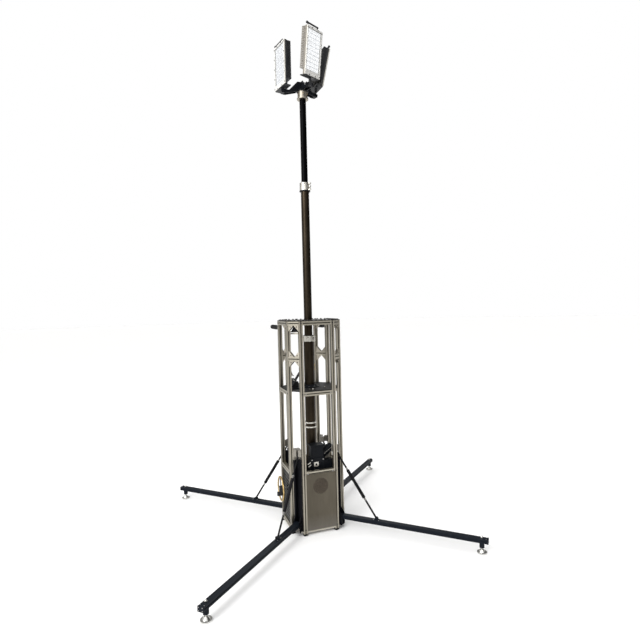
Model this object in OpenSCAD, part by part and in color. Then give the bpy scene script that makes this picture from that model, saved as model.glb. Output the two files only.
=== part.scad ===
// Crank lighting stand: an eight-post slotted aluminium tower on four folding outrigger legs.
// A three-stage round mast stands in the tower. A hand wheel on the left side turns a rope drum
// that lifts the second stage, and two lever collars lock the stages. Three LED panel floods
// tilt on a bracket at the top.
// Frame: origin on the floor under the mast, +Z up, -Y is the front, +X is the right.

/* [Tower] */
// Height of the top of the posts
tower_h = 1608; // [1500:1:1800]
// Side of the square slotted profile
post_size = 30; // [28:1:34]
// Distance between the two posts of one wide face
face_w = 250; // [230:1:300]
// Distance from the mast axis to the post centres of a wide face
face_d = 200; // [185:1:240]
// Height of the rubber foot under each post
post_foot_h = 15; // [10:1:25]
// Centre height of the rails that frame the lower panels
panel_rail_z = 463; // [440:1:500]
// Centre height of the rails under the middle plate
mid_rail_z = 1063; // [1030:1:1100]
// Centre height of the bars that brace the corner openings
brace_z = 1327; // [1290:1:1400]
// Leg length of the triangular corner gussets
gusset_size = 38; // [25:1:40]

/* [Plates and panels] */
// Thickness of the top, middle and base plates
plate_t = 6; // [4:0.5:8]
// Thickness of the sheet panels
panel_t = 3; // [2:0.5:4]
// Diameter of the round vent in the front panel
vent_d = 120; // [80:1:140]

/* [Mast] */
// Outside diameter of the fixed outer tube
outer_d = 82; // [78:1:90]
// Wall of the fixed outer tube
outer_wall = 4; // [3:0.5:5]
// Top of the fixed outer tube
outer_top_z = 1468; // [1400:1:1520]
// Outside diameter of the second stage
stage2_d = 64; // [60:1:68]
// Wall of the second stage
stage2_wall = 3.5; // [3:0.5:4]
// Lower end of the second stage when the mast is raised
stage2_low_z = 1250; // [1200:1:1300]
// Upper end of the second stage when the mast is raised
stage2_top_z = 2668; // [2500:1:2700]
// Outside diameter of the third stage
stage3_d = 51; // [46:1:52]
// Wall of the third stage
stage3_wall = 3; // [2:0.5:4]
// Lower end of the third stage when the mast is raised
stage3_low_z = 1975; // [1900:1:2050]
// Upper end of the third stage when the mast is raised
stage3_top_z = 3397; // [3300:1:3500]

/* [Lamps] */
// Width of a lamp
lamp_w = 174; // [150:1:200]
// Height of a lamp
lamp_h = 330; // [280:1:380]
// Depth of a lamp with its cooling fins
lamp_t = 58; // [50:1:70]
// Distance from the mast axis to a lamp's tilt pivot
lamp_reach = 130; // [120:1:170]

/* [Legs] */
// Width of a leg tube
leg_w = 40; // [34:1:42]
// Depth of a leg tube
leg_t = 30; // [26:1:32]
// Distance from the mast axis to the end of a leg
leg_reach = 1345; // [1200:1:1500]
// Distance from the end of a leg back to its levelling screw
foot_inset = 45; // [40:1:80]
// Diameter of the floor pad under a leg
pad_d = 67; // [55:1:90]
// Distance from the mast axis to the pivot of the strut on the leg
strut_foot_r = 538; // [500:1:560]
// Height of the strut's upper pivot
strut_top_z = 605; // [590:1:620]

/* [Crank] */
// Outside diameter of the hand wheel
wheel_d = 190; // [180:1:216]
// Height of the crank shaft
crank_z = 306; // [290:1:320]
// Radius at which the rope leaves the drum
drum_r = 30; // [26:1:34]

/* [Hidden] */
$fn = 64;
fit = 0.06;                  // radial gap of a running fit
seat = 0.3;                  // gap between parts that slide past each other

// Tower
half = post_size / 2;
corner_x = face_w / 2;
chamfer_r = (face_d + corner_x) / sqrt(2);         // mast axis to the middle of a corner opening
chamfer_y = (face_d - corner_x) / sqrt(2);         // middle of the opening to a post centre
top_rail_z = tower_h - half;
base_rail_z = 2 * post_size - half;
slot_w = 8.2;
slot_lip = 2.2;
slot_depth = 9;
core_bore_d = 6.8;
bay_top = panel_rail_z - half;                     // underside of the panel rails
bay_low = base_rail_z + half;                      // top of the base rails
base_top = base_rail_z - half;                     // top of the base plate

// Legs
leg_z = 87;
leg_pivot_r = chamfer_r + 20;
pin_d = 12;
strut_foot_z = leg_z + leg_t / 2 + 10;
strut_top_r = chamfer_r - 22;
strut_eye_t = 14;
strut_pin_d = 10;
strut_eye_r = 9.5;
channel_in = leg_w / 2 + 2.5;
channel_t = 4;
channel_back = chamfer_r - 34;
channel_top = strut_top_z - 45;
foot_r = leg_reach - foot_inset;
screw_d = 12;

// Mast
outer_in = outer_d / 2 - outer_wall;
clamp_h = 44;
clamp_r = outer_d / 2 + 5;
clamp_z = outer_top_z - 25;
clamp2_h = 59;
clamp2_r = stage2_d / 2 + 8;
clamp2_z = stage2_top_z - 40;
head_r = 39;
head_h = 52;
head_z = stage3_top_z - head_h;
lug_angle = -52;                                   // side of the collars that carries the lever
lug_reach = 10;

// Lamps
lamp_pivot_z = stage3_top_z + 8;
lamp_gap = 27;                                     // pivot to the bottom of a lamp with no lift
lamp_face = 25;                                    // pivot to the front of the lamp
lamp_tray = 24;                                    // depth of the lit box in front of the fins
arm_gap = 30;                                      // inside width of an arm's fork
arm_plate = 5;
// each arm's direction, its lamp's turn and downward tilt, the pivot's drop, the lamp's lift, the arm's extra reach
LEFT = [178, 14, 0, 20, 0, 28];
FRONT = [278, 25, 12, 0, 26, 0];
RIGHT = [24, -16, 15, 0, 30, 0];

// Crank
wheel_x = -face_d - 55;
rim_t = 12;
shaft_d = 16;
winch_x = [-184, -78];                             // the two bearing plates
knob_at = [-58, -16];                              // crank handle's place from the shaft, in Y and Z
knob_a = atan2(knob_at[0], knob_at[1]);            // its spoke's direction in the wheel's own plane

// ---------------------------------------------------------------- helpers
module at_faces() {
    for (i = [0:3]) {
        rotate([0, 0, 90 * i]) children();
    }
}

module at_chamfers() {
    for (i = [0:3]) {
        rotate([0, 0, 45 + 90 * i]) children();
    }
}

// slotted profile, centred, extruded along +Z
module slotted(length) {
    linear_extrude(length) difference() {
        square(post_size, center = true);
        circle(d = core_bore_d);
        for (a = [0:90:270]) {
            rotate(a) translate([half, 0]) polygon([
                [1, -slot_w / 2], [1, slot_w / 2], [-slot_lip, slot_w / 2],
                [-slot_lip, half / 2], [-slot_lip - 3, half / 2], [-slot_depth, 3], [-slot_depth, -3],
                [-slot_lip - 3, -half / 2], [-slot_lip, -half / 2], [-slot_lip, -slot_w / 2]
            ]);
        }
    }
}

module post_places() {
    for (sx = [-1, 1]) {
        for (sy = [-1, 1]) {
            translate([sx * corner_x, sy * face_d, 0]) children();
            translate([sx * face_d, sy * corner_x, 0]) children();
        }
    }
}

// the two posts beside a corner opening, as plain squares, in the opening's own frame
module chamfer_posts(gap, low, high) {
    for (s = [-1, 1]) {
        translate([chamfer_r, s * chamfer_y, low]) rotate([0, 0, 45])
            linear_extrude(high - low) square(post_size + 2 * gap, center = true);
    }
}

module octagon(face, corner, z, t) {
    c = corner * sqrt(2);
    translate([0, 0, z]) linear_extrude(t) polygon([
        [c - face, -face], [face, face - c], [face, c - face], [c - face, face],
        [face - c, face], [-face, c - face], [-face, face - c], [face - c, -face]
    ]);
}

module ring(r_out, r_in, z, h) {
    translate([0, 0, z]) difference() {
        cylinder(r = r_out, h = h);
        translate([0, 0, -1]) cylinder(r = r_in, h = h + 2);
    }
}

module hex_head(r, h) {
    cylinder(r = r, h = h, $fn = 6);
}

// ---------------------------------------------------------------- tower
module posts() color("silver") post_places()
    translate([0, 0, post_foot_h]) slotted(tower_h - post_foot_h);

module post_feet() color("black") post_places() {
    translate([-half, -half, 4]) cube([post_size, post_size, post_foot_h - 4]);
    cylinder(d = post_size - 2, h = 4);
}

module face_rails() color("silver") at_faces() {
    for (z = [base_rail_z, panel_rail_z, mid_rail_z, top_rail_z]) {
        translate([-corner_x + half, -face_d, z]) rotate([0, 90, 0]) slotted(face_w - post_size);
    }
}

module chamfer_bars() color("silver") at_chamfers() {
    for (z = [brace_z, top_rail_z]) {
        difference() {
            translate([chamfer_r, chamfer_y, z]) rotate([90, 0, 0]) slotted(2 * chamfer_y);
            chamfer_posts(0, z - post_size, z + post_size);
        }
    }
}

// a triangular corner gusset below (or above) a bar, on one side of the opening
module gusset(side, z, up) {
    reach = chamfer_y - 5;
    translate([chamfer_r - half + 3, 0, z]) rotate([90, 0, 90])
        linear_extrude(post_size - 6) polygon([
            [side * reach, 0], [side * (reach - gusset_size - 8), 0], [side * reach, up * (gusset_size + 12)]
        ]);
}

// six gussets in each corner opening, but for the two whose place the push handles take
module gussets() color("lightgray") for (angle = [45:90:315]) {
    handle_side = angle == 45 ? -1 : angle == 135 ? 1 : 0;
    rotate(angle) difference() {
        for (side = [-1, 1]) {
            if (side != handle_side) {
                gusset(side, top_rail_z - half, -1);
            }
            gusset(side, brace_z - half, -1);
            gusset(side, brace_z + half, 1);
        }
        chamfer_posts(0, brace_z - 3 * post_size, tower_h);
    }
}

module top_plate() color("dimgray") difference() {
    octagon(face_d + half, chamfer_r + 20, tower_h, plate_t - 1);
    translate([0, 0, tower_h - 1]) cylinder(d = stage2_d + 6, h = plate_t + 1);
}

module top_bolts() color("gray") {
    at_faces() for (x = [-corner_x, -face_w / 6, face_w / 6, corner_x]) {
        translate([x, -face_d, tower_h + plate_t - 1]) hex_head(8, 6);
    }
    at_chamfers() translate([chamfer_r, 0, tower_h + plate_t - 1]) hex_head(8, 6);
}

module mid_plate() color("dimgray") difference() {
    octagon(face_d + 10, chamfer_r - 6, mid_rail_z + half, plate_t);
    translate([0, 0, mid_rail_z]) cylinder(r = outer_d / 2 + 8, h = post_size);
    translate([0, 0, mid_rail_z]) post_places()
        translate([-half, -half, 0]) cube([post_size, post_size, 2 * post_size]);
}

module base_plate() color("lightgray") difference() {
    octagon(face_d + half, chamfer_r + 20, base_top - plate_t, plate_t);
    post_places() translate([-half, -half, 0]) cube([post_size, post_size, 2 * post_size]);
    at_chamfers() translate([channel_back - 1, -channel_in - channel_t - 1, 0])
        cube([100, 2 * (channel_in + channel_t + 1), 2 * post_size]);
}

// sheet that reaches nearly to the floor of the slots around it
module panel_sheet() {
    grip = slot_depth - seat;
    translate([-corner_x + half - grip, -face_d - panel_t / 2, bay_low - grip])
        cube([face_w - post_size + 2 * grip, panel_t, bay_top - bay_low + 2 * grip]);
}

vent_z = bay_top - vent_d / 2 - 26;

module front_panel() color("tan") difference() {
    panel_sheet();
    translate([0, -face_d, vent_z]) rotate([90, 0, 0])
        cylinder(d = vent_d, h = 4 * panel_t, center = true);
}

// perforated round grille with a raised rim, seated on the front of the panel
module front_grille() color("dimgray")
    translate([0, -face_d - panel_t / 2, vent_z]) rotate([90, 0, 0]) {
        difference() {
            cylinder(d = vent_d + 10, h = 3);
            translate([0, 0, -1]) cylinder(d = vent_d - 6, h = 5);
        }
        difference() {
            cylinder(d = vent_d - 6, h = 1.5);
            for (ringn = [1:3]) {
                for (k = [1:6 * ringn]) {
                    rotate(60 * k / ringn) translate([ringn * (vent_d - 12) / 7, 0, -1])
                        cylinder(d = 9, h = 4, $fn = 24);
                }
            }
        }
    }

// ribbed dark panel behind the hand wheel, with a clear hole for the crank shaft
module left_panel() color("dimgray") difference() {
    rotate([0, 0, -90]) {
        panel_sheet();
        for (z = [bay_low + 12:24:bay_top - 12]) {
            translate([-corner_x + half, -face_d - panel_t / 2 - 4, z - 5])
                cube([face_w - post_size, 4, 10]);
        }
    }
    translate([-face_d, 0, crank_z]) rotate([0, 90, 0])
        cylinder(r = 22, h = 40, center = true);
}

module plain_panels() color("tan") for (a = [90, 180]) {
    rotate([0, 0, a]) panel_sheet();
}

// channel that a folded leg stands in, one in each corner opening, held between the posts
module leg_channel() {
    low = base_top - plate_t;
    cheek_r = leg_pivot_r + 16;
    difference() {
        union() {
            for (s = [-1, 1]) {
                translate([0, s * (channel_in + channel_t / 2) + channel_t / 2, 0]) rotate([90, 0, 0])
                    linear_extrude(channel_t) polygon([
                        [channel_back, low], [cheek_r, low], [cheek_r, leg_z + 22],
                        [chamfer_r + 6, leg_z + 60], [chamfer_r + 6, channel_top],
                        [channel_back, channel_top]
                    ]);
            }
            translate([channel_back, -channel_in, low])
                cube([channel_t, 2 * channel_in, channel_top - low]);
            for (s = [-1, 1]) {
                translate([chamfer_r - 4, s > 0 ? channel_in + 1 : -chamfer_y + 4, base_top])
                    cube([8, chamfer_y - channel_in - 5, channel_top - base_top]);
            }
        }
        chamfer_posts(0, 0, channel_top + 10);
        translate([leg_pivot_r, 0, leg_z]) rotate([90, 0, 0])
            cylinder(d = pin_d + 0.04, h = 4 * channel_in, center = true);
    }
}

// the headed pin that a leg turns on, through both cheeks of its channel
module leg_pin() translate([leg_pivot_r, 0, leg_z]) rotate([90, 0, 0]) {
    cylinder(d = pin_d, h = 2 * (channel_in + channel_t), center = true);
    for (s = [-1, 1]) {
        translate([0, 0, s * (channel_in + channel_t + 2.5)]) cylinder(r = 10, h = 5, center = true);
    }
}

module leg_channels() color("black") at_chamfers() {
    leg_channel();
    leg_pin();
}

// ---------------------------------------------------------------- equipment in the tower
module mast_foot() color("gray") difference() {
    union() {
        translate([0, 0, base_top]) cylinder(r = outer_d / 2 + 34, h = 10);
        translate([0, 0, base_top]) cylinder(r = outer_d / 2 + 9, h = 60);
    }
    translate([0, 0, base_top + 12]) cylinder(d = outer_d, h = 60);
    for (a = [45:90:315]) {
        rotate(a) translate([outer_d / 2 + 22, 0, base_top - 1]) cylinder(d = 10, h = 12);
    }
}

module outer_tube() color([0.2, 0.16, 0.12])
    ring(outer_d / 2, outer_in, base_top + 12, outer_top_z - base_top - 12);

// split collar with two lugs and a lever pin: the lower bore grips its tube, the upper bore guides
module collar(r_out, grip_r, pass_r, z, h, step) {
    pin_r = r_out + lug_reach;
    difference() {
        union() {
            translate([0, 0, z]) cylinder(r = r_out, h = h);
            rotate(lug_angle) for (s = [-1, 1]) {
                translate([0, -8, z + h / 2 + s * (h / 2 - 5) - 5]) cube([pin_r, 16, 10]);
                translate([pin_r, 0, z + h / 2 + s * (h / 2 - 5) - 5]) cylinder(r = 8, h = 10);
            }
        }
        translate([0, 0, z - 1]) cylinder(r = grip_r, h = step + 1);
        translate([0, 0, z - 1]) cylinder(r = pass_r, h = h + 2);
        rotate(lug_angle + 180) translate([0, -1.5, z - 1]) cube([2 * r_out, 3, h + 2]);
    }
    rotate(lug_angle) translate([pin_r, 0, z + 4]) cylinder(r = 3, h = h - 8);
}

// cam lever that lies round the collar and swings out about the lug's pin
module lever(r_out, z, h) {
    pin_r = r_out + lug_reach;
    arc_in = r_out + 1.5;
    low = z + h / 2 - 7;
    difference() {
        union() {
            rotate(lug_angle) translate([pin_r, 0, low]) cylinder(r = 8, h = 14);
            translate([0, 0, low]) rotate(lug_angle) intersection() {
                ring(arc_in + 6, arc_in, 0, 14);
                linear_extrude(14) polygon([
                    [0, 0], [120, 0], [120, 120], [20, 120]
                ]);
            }
        }
        rotate(lug_angle) translate([pin_r, 0, z]) cylinder(r = 3 + fit, h = h);
    }
}

// the lever collar on top of the outer tube, and the two plain stop rings lower down
module outer_clamp() color("silver") {
    collar(clamp_r, outer_d / 2, stage2_d / 2 + fit, clamp_z, clamp_h, outer_top_z - clamp_z);
    for (z = [767, 802]) {
        ring(outer_d / 2 + 6, outer_d / 2, z - 5, 10);
    }
}

module outer_lever() color("gray") lever(clamp_r, clamp_z, clamp_h);

// dished flange that steadies the outer tube on the middle plate
module mast_guide() color("black") {
    z = mid_rail_z + half + plate_t;
    difference() {
        union() {
            translate([0, 0, z]) cylinder(r = outer_d / 2 + 34, h = 5);
            translate([0, 0, z + 5]) cylinder(r1 = outer_d / 2 + 24, r2 = outer_d / 2 + 6, h = 14);
        }
        translate([0, 0, z - 1]) cylinder(d = outer_d, h = 30);
    }
}

// open box-section stand under the lift drive
drive_x = [-50, 60];
drive_y = [-140, -62];
drive_z = 420;

module drive_stand() difference() {
    translate([drive_x[0] + 4, drive_y[0] + 4, base_top])
        cube([drive_x[1] - drive_x[0] - 8, drive_y[1] - drive_y[0] - 8, drive_z - base_top]);
    translate([drive_x[0] + 7, drive_y[0] + 7, base_top - 1])
        cube([drive_x[1] - drive_x[0] - 14, drive_y[1] - drive_y[0] - 14, drive_z - base_top - 2]);
    // the mast foot's flange runs under the stand's back edge
    translate([0, 0, base_top - 1]) cylinder(r = outer_d / 2 + 35, h = 12);
}

module drive_box() color("black") {
    drive_stand();
    w = drive_x[1] - drive_x[0];
    d = drive_y[1] - drive_y[0];
    translate([drive_x[0], drive_y[0], drive_z]) cube([w, d, 130]);
    translate([drive_x[0] + 6, drive_y[0] + 6, drive_z + 130]) cube([w - 12, d - 12, 90]);
    translate([drive_x[0], drive_y[0], drive_z + 220]) cube([w, d, 10]);
}

// motor on the right of the drive, leaning up and outwards
module drive_motor() color("black") {
    x = drive_x[1];
    translate([x, drive_y[0] + 8, drive_z + 5]) cube([65, 62, 100]);
    intersection() {
        translate([x, drive_y[0] - 10, drive_z + 105]) cube([160, 130, 260]);
        translate([x + 2, drive_y[1], drive_z + 130]) rotate([0, 55, 0]) {
            cylinder(r = 33, h = 100);
            for (k = [0:4]) {
                translate([0, 0, 20 + 14 * k]) cylinder(r = 36, h = 5);
            }
            translate([0, 0, 96]) cylinder(r = 26, h = 14);
        }
    }
}

module drive_flange() color("silver") difference() {
    translate([-26, drive_y[0] - 5, 485]) cube([38, 5, 38]);
    translate([-7, drive_y[0], 504]) rotate([90, 0, 0]) cylinder(d = 16, h = 20, center = true);
}

module battery() color("dimgray") {
    translate([-70, 100, base_top]) cube([170, 72, 165]);
    for (x = [-45, 75]) {
        translate([x, 136, base_top + 165]) cylinder(d = 16, h = 14);
    }
}

module power_box() color("gray") difference() {
    translate([-128, 52, base_top]) cube([52, 42, 550]);
    for (z = [base_top + 440:16:base_top + 520]) {
        translate([-120, 51, z]) cube([36, 3, 6]);
    }
}

module control_box() color("black") {
    z = mid_rail_z + half + plate_t;
    translate([-165, -20, z]) cube([68, 92, 48]);
    translate([-150, 10, z + 48]) cube([34, 50, 20]);
    for (y = [0, 26, 52]) {
        translate([-165, y, z + 26]) rotate([0, -90, 0]) cylinder(d = 14, h = 10);
    }
}

handle_z = tower_h - 54;
handle_y = face_w / 2 + half;

// a bar with a flange on each back post, and the rubber grip pushed over its end
module push_handles() color("black") for (s = [-1, 1]) {
    translate([s * face_d, handle_y, handle_z]) rotate([-90, 0, 0]) {
        cylinder(d = 26, h = 235);
        translate([-half, -half, 0]) cube([post_size, post_size, 6]);
        translate([0, 0, 90]) difference() {
            cylinder(d = 35, h = 150);
            translate([0, 0, -1]) cylinder(d = 26, h = 146);
        }
    }
}

// ---------------------------------------------------------------- crank winch
module winch_frame() color("gray") {
    difference() {
        union() {
            for (x = winch_x) {
                translate([x, -40, base_top]) cube([6, 80, crank_z - base_top + 34]);
            }
            translate([winch_x[0], -40, base_top]) cube([winch_x[1] - winch_x[0] + 6, 80, 6]);
        }
        translate([winch_x[0] - 10, 0, crank_z]) rotate([0, 90, 0])
            cylinder(r = shaft_d / 2 + fit, h = 200);
        translate([0, 0, base_top - 1]) cylinder(r = outer_d / 2 + 35, h = 12);
    }
}

module crank_wheel() color([0.72, 0.56, 0.25]) translate([wheel_x, 0, crank_z]) rotate([0, -90, 0]) {
    rotate_extrude($fn = 96) translate([(wheel_d - rim_t) / 2, 0]) circle(d = rim_t, $fn = 32);
    for (a = [knob_a, knob_a + 120, knob_a + 240]) {
        rotate(a) translate([20, -5, -3]) cube([(wheel_d - rim_t) / 2 - 22, 10, 6]);
    }
    difference() {
        translate([0, 0, -10]) cylinder(r = 22, h = 24);
        translate([0, 0, -11]) cylinder(d = shaft_d, h = 26);
    }
    // spindle of the crank handle
    translate([knob_at[1], knob_at[0], 0]) cylinder(r = 4, h = 31);
}

module crank_shaft() color("gray") {
    translate([wheel_x - 16, 0, crank_z]) rotate([0, 90, 0])
        cylinder(d = shaft_d, h = winch_x[1] + 14 - wheel_x + 16);
    translate([winch_x[0] + 10, 0, crank_z]) rotate([0, 90, 0]) {
        ring(drum_r, shaft_d / 2, 0, 84);
        ring(drum_r + 14, shaft_d / 2, 0, 4);
        ring(drum_r + 14, shaft_d / 2, 80, 4);
    }
}

module crank_knob() color("black")
    translate([wheel_x, knob_at[0], crank_z + knob_at[1]]) rotate([0, -90, 0]) {
        difference() {
            translate([0, 0, 4]) cylinder(r = 17, h = 38);
            translate([0, 0, 3]) cylinder(r = 4 + fit, h = 31);
        }
    }

// ---------------------------------------------------------------- moving mast
module stage2_tube() color([0.2, 0.16, 0.12])
    ring(stage2_d / 2, stage2_d / 2 - stage2_wall, stage2_low_z, stage2_top_z - stage2_low_z);

module stage2_glide() color("white")
    ring(outer_in - fit, stage2_d / 2, stage2_low_z + 10, 60);

module stage2_clamp() color("silver")
    collar(clamp2_r, stage2_d / 2, stage3_d / 2 + fit, clamp2_z, clamp2_h, stage2_top_z - clamp2_z);

module stage2_lever() color("gray") lever(clamp2_r, clamp2_z, clamp2_h);

module stage3_tube() color("black")
    ring(stage3_d / 2, stage3_d / 2 - stage3_wall, stage3_low_z, stage3_top_z - stage3_low_z);

module stage3_glide() color("white")
    ring(stage2_d / 2 - stage2_wall - fit, stage3_d / 2, stage3_low_z + 10, 50);

module head_sleeve() color("silver") difference() {
    union() {
        translate([0, 0, head_z]) cylinder(r = head_r, h = head_h);
        translate([0, 0, head_z - 6]) cylinder(r = head_r + 6, h = 8);
    }
    translate([0, 0, head_z - 7]) cylinder(d = stage3_d, h = head_h + 8);
}

// bracket of three forked arms on the mast head
module lamp_arm(place) {
    pivot = lamp_pivot_z - place[3];
    reach = lamp_reach + place[5];
    rotate(place[0]) for (s = [-1, 1]) {
        translate([0, s * (arm_gap + arm_plate) / 2 + arm_plate / 2, 0]) rotate([90, 0, 0])
            linear_extrude(arm_plate) difference() {
                polygon([
                    [19, stage3_top_z + 2], [19, stage3_top_z + 70], [44, stage3_top_z + 70],
                    [reach - 47, pivot + 12], [reach + 10, pivot + 12],
                    [reach + 12, pivot + 8], [reach + 12, pivot - 12],
                    [reach - 20, pivot - 16], [49, stage3_top_z - 4], [49, stage3_top_z + 2]
                ]);
                translate([reach, pivot]) circle(d = 10.04);
            }
    }
}

module lamp_bolt(place) {
    rotate(place[0]) translate([lamp_reach + place[5], 0, lamp_pivot_z - place[3]]) rotate([90, 0, 0]) {
        cylinder(d = 10, h = arm_gap + 2 * arm_plate + 0.2, center = true);
        for (s = [-1, 1]) {
            translate([0, 0, s * (arm_gap / 2 + arm_plate + 3.5)])
                cylinder(r = 9, h = 7, center = true, $fn = 6);
        }
    }
}

module lamp_hub() color("black") {
    translate([0, 0, stage3_top_z]) cylinder(r = 47, h = 8);
    translate([0, 0, stage3_top_z + 8]) cylinder(r = 20, h = 66);
    for (place = [LEFT, FRONT, RIGHT]) {
        lamp_arm(place);
        lamp_bolt(place);
    }
}

// a lamp's own frame: origin on its tilt pivot, +X out of the lens, +Z up the lamp
module place_lamp(place) {
    rotate(place[0]) translate([lamp_reach + place[5], 0, lamp_pivot_z - place[3]]) rotate([0, place[2], 0])
        children();
}

module lamp(place) color("dimgray") place_lamp(place) {
    low = lamp_gap + place[4];
    back = lamp_face - lamp_t;
    difference() {
        rotate([0, 0, place[1]]) union() {
            translate([lamp_face - lamp_tray, -lamp_w / 2, low]) cube([lamp_tray - 2, lamp_w, lamp_h]);
            // cooling fins behind the lit box, stopping short of its bottom
            for (k = [0:17]) {
                translate([back, -lamp_w / 2 + 3, low + 44 + k * (lamp_h - 53) / 17])
                    cube([lamp_t - lamp_tray + 1, lamp_w - 6, 3]);
            }
            for (y = [-lamp_w / 4, 0, lamp_w / 4]) {
                translate([back + 8, y - 2, low + 40]) cube([lamp_t - lamp_tray - 7, 4, lamp_h - 44]);
            }
            // foot plate under the lamp
            translate([back + 2, -lamp_w / 2 + 6, low - 6]) cube([lamp_t - 5, lamp_w - 12, 6.5]);
        }
        rotate([0, 0, place[1]]) translate([lamp_face - lamp_tray + 3, -lamp_w / 2 + 9, low + 9])
            cube([40, lamp_w - 18, lamp_h - 18]);
    }
    // lug between the fork's plates, with a neck up to the foot plate
    difference() {
        translate([-12, -arm_gap / 2 + 1, -12]) cube([24, arm_gap - 2, 27]);
        rotate([90, 0, 0]) cylinder(r = 5 + fit, h = 60, center = true);
    }
    translate([0, 0, 14]) cylinder(d = 20, h = low - 18);
    // carrying bar across the top
    rotate([0, 0, place[1]]) {
        for (y = [-lamp_w / 2 + 14, lamp_w / 2 - 50]) {
            translate([lamp_face - 14, y, low + lamp_h - 1]) cylinder(d = 8, h = 18);
        }
        translate([lamp_face - 14, -lamp_w / 2 + 2, low + lamp_h + 18]) rotate([-90, 0, 0])
            cylinder(d = 12, h = lamp_w - 46);
        translate([lamp_face - 14, -lamp_w / 2 + 4, low + lamp_h + 18]) sphere(d = 19);
    }
}

// front frame, glass and the LED board behind it, as three solids
module window(place) color("white") place_lamp(place) rotate([0, 0, place[1]]) {
    low = lamp_gap + place[4];
    difference() {
        translate([lamp_face - 2, -lamp_w / 2, low]) cube([2, lamp_w, lamp_h]);
        translate([lamp_face - 3, -lamp_w / 2 + 15, low + 15]) cube([4, lamp_w - 30, lamp_h - 30]);
    }
    translate([lamp_face - 6.2, -lamp_w / 2 + 9, low + 9]) cube([4, lamp_w - 18, lamp_h - 18]);
    translate([lamp_face - lamp_tray + 3, -lamp_w / 2 + 9, low + 9]) cube([3, lamp_w - 18, lamp_h - 18]);
}

module lamp_left() lamp(LEFT);
module lamp_front() lamp(FRONT);
module lamp_right() lamp(RIGHT);
module window_left() window(LEFT);
module window_front() window(FRONT);
module window_right() window(RIGHT);

// ---------------------------------------------------------------- legs
// a leg's own frame: +X runs out along the leg, the mast is at the origin
module leg_tube() {
    end_r = leg_reach - 6;
    difference() {
        union() {
            translate([leg_pivot_r, -leg_w / 2, leg_z - leg_t / 2])
                cube([end_r - leg_pivot_r, leg_w, leg_t]);
            translate([leg_pivot_r, 0, leg_z]) rotate([90, 0, 0])
                cylinder(d = leg_t, h = leg_w, center = true);
        }
        // side grooves and a hollow core
        for (s = [-1, 1]) {
            translate([leg_pivot_r + 24, s * leg_w / 2 - 3, leg_z - 4])
                cube([end_r - leg_pivot_r, 6, 8]);
        }
        translate([leg_pivot_r + 30, -leg_w / 2 + 7, leg_z - leg_t / 2 + 4])
            cube([end_r - leg_pivot_r - 110, leg_w - 14, leg_t - 8]);
        translate([leg_pivot_r, 0, leg_z]) rotate([90, 0, 0])
            cylinder(r = pin_d / 2 + fit, h = 2 * leg_w, center = true);
        translate([foot_r, 0, 0]) cylinder(r = screw_d / 2 + fit, h = 2 * leg_z);
    }
}

module strut_bracket() {
    top = leg_z + leg_t / 2;
    difference() {
        union() {
            translate([strut_foot_r - 26, -18, top]) cube([52, 36, 2.5]);
            for (s = [-1, 1]) {
                translate([strut_foot_r - 11, s * 10.8 - 2.5, top]) cube([22, 5, strut_foot_z - top]);
                translate([strut_foot_r, s * 10.8, strut_foot_z]) rotate([90, 0, 0])
                    cylinder(r = 11, h = 5, center = true);
            }
        }
        translate([strut_foot_r, 0, strut_foot_z]) rotate([90, 0, 0])
            cylinder(d = strut_pin_d, h = 60, center = true);
        // hollow under the strut's eye
        translate([strut_foot_r, 0, strut_foot_z]) rotate([90, 0, 0])
            cylinder(r = strut_eye_r + 0.5, h = strut_eye_t + 1, center = true);
    }
    translate([strut_foot_r, 0, strut_foot_z]) rotate([90, 0, 0]) {
        cylinder(d = strut_pin_d, h = 27, center = true);
        for (s = [-1, 1]) {
            translate([0, 0, s * 15.5]) cylinder(r = 8, h = 4.4, center = true, $fn = 6);
        }
    }
}

module leg(angle) color([0.1, 0.12, 0.15]) rotate(angle) {
    leg_tube();
    strut_bracket();
    // end cap and the sleeve that carries the levelling screw
    translate([leg_reach - 6, -leg_w / 2 - 1, leg_z - leg_t / 2 - 1]) cube([6, leg_w + 2, leg_t + 2]);
    difference() {
        translate([foot_r, 0, 38]) cylinder(r = 17, h = leg_z - leg_t / 2 - 38);
        translate([foot_r, 0, 0]) cylinder(r = screw_d / 2 + fit, h = 2 * leg_z);
    }
}

strut_dx = strut_top_r - strut_foot_r;
strut_dz = strut_top_z - strut_foot_z;
strut_l = sqrt(strut_dx * strut_dx + strut_dz * strut_dz);
sleeve_low = 0.293 * strut_l;
sleeve_high = 0.691 * strut_l;

// folding strut: a thick sleeve with a rod and an eye at each end
module strut(angle) color("black")
    rotate(angle) translate([strut_foot_r, 0, strut_foot_z]) rotate([0, atan2(strut_dx, strut_dz), 0]) {
        translate([0, 0, sleeve_low]) difference() {
            cylinder(r = 12, h = sleeve_high - sleeve_low);
            translate([0, 0, -1]) cylinder(r = 6.9, h = 31);
            translate([0, 0, sleeve_high - sleeve_low - 30]) cylinder(r = 6.9, h = 31);
        }
        difference() {
            union() {
                translate([0, 0, 8]) cylinder(r = 6.9, h = sleeve_low + 21);
                rotate([90, 0, 0]) cylinder(r = strut_eye_r, h = strut_eye_t, center = true);
            }
            rotate([90, 0, 0]) cylinder(r = strut_pin_d / 2 + fit, h = 30, center = true);
        }
        difference() {
            union() {
                translate([0, 0, sleeve_high - 29]) cylinder(r = 6.9, h = strut_l - sleeve_high + 21);
                translate([0, 0, strut_l]) rotate([90, 0, 0])
                    cylinder(r = strut_eye_r, h = strut_eye_t, center = true);
            }
            translate([0, 0, strut_l]) rotate([90, 0, 0]) cylinder(r = 4, h = 30, center = true);
        }
    }

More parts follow.
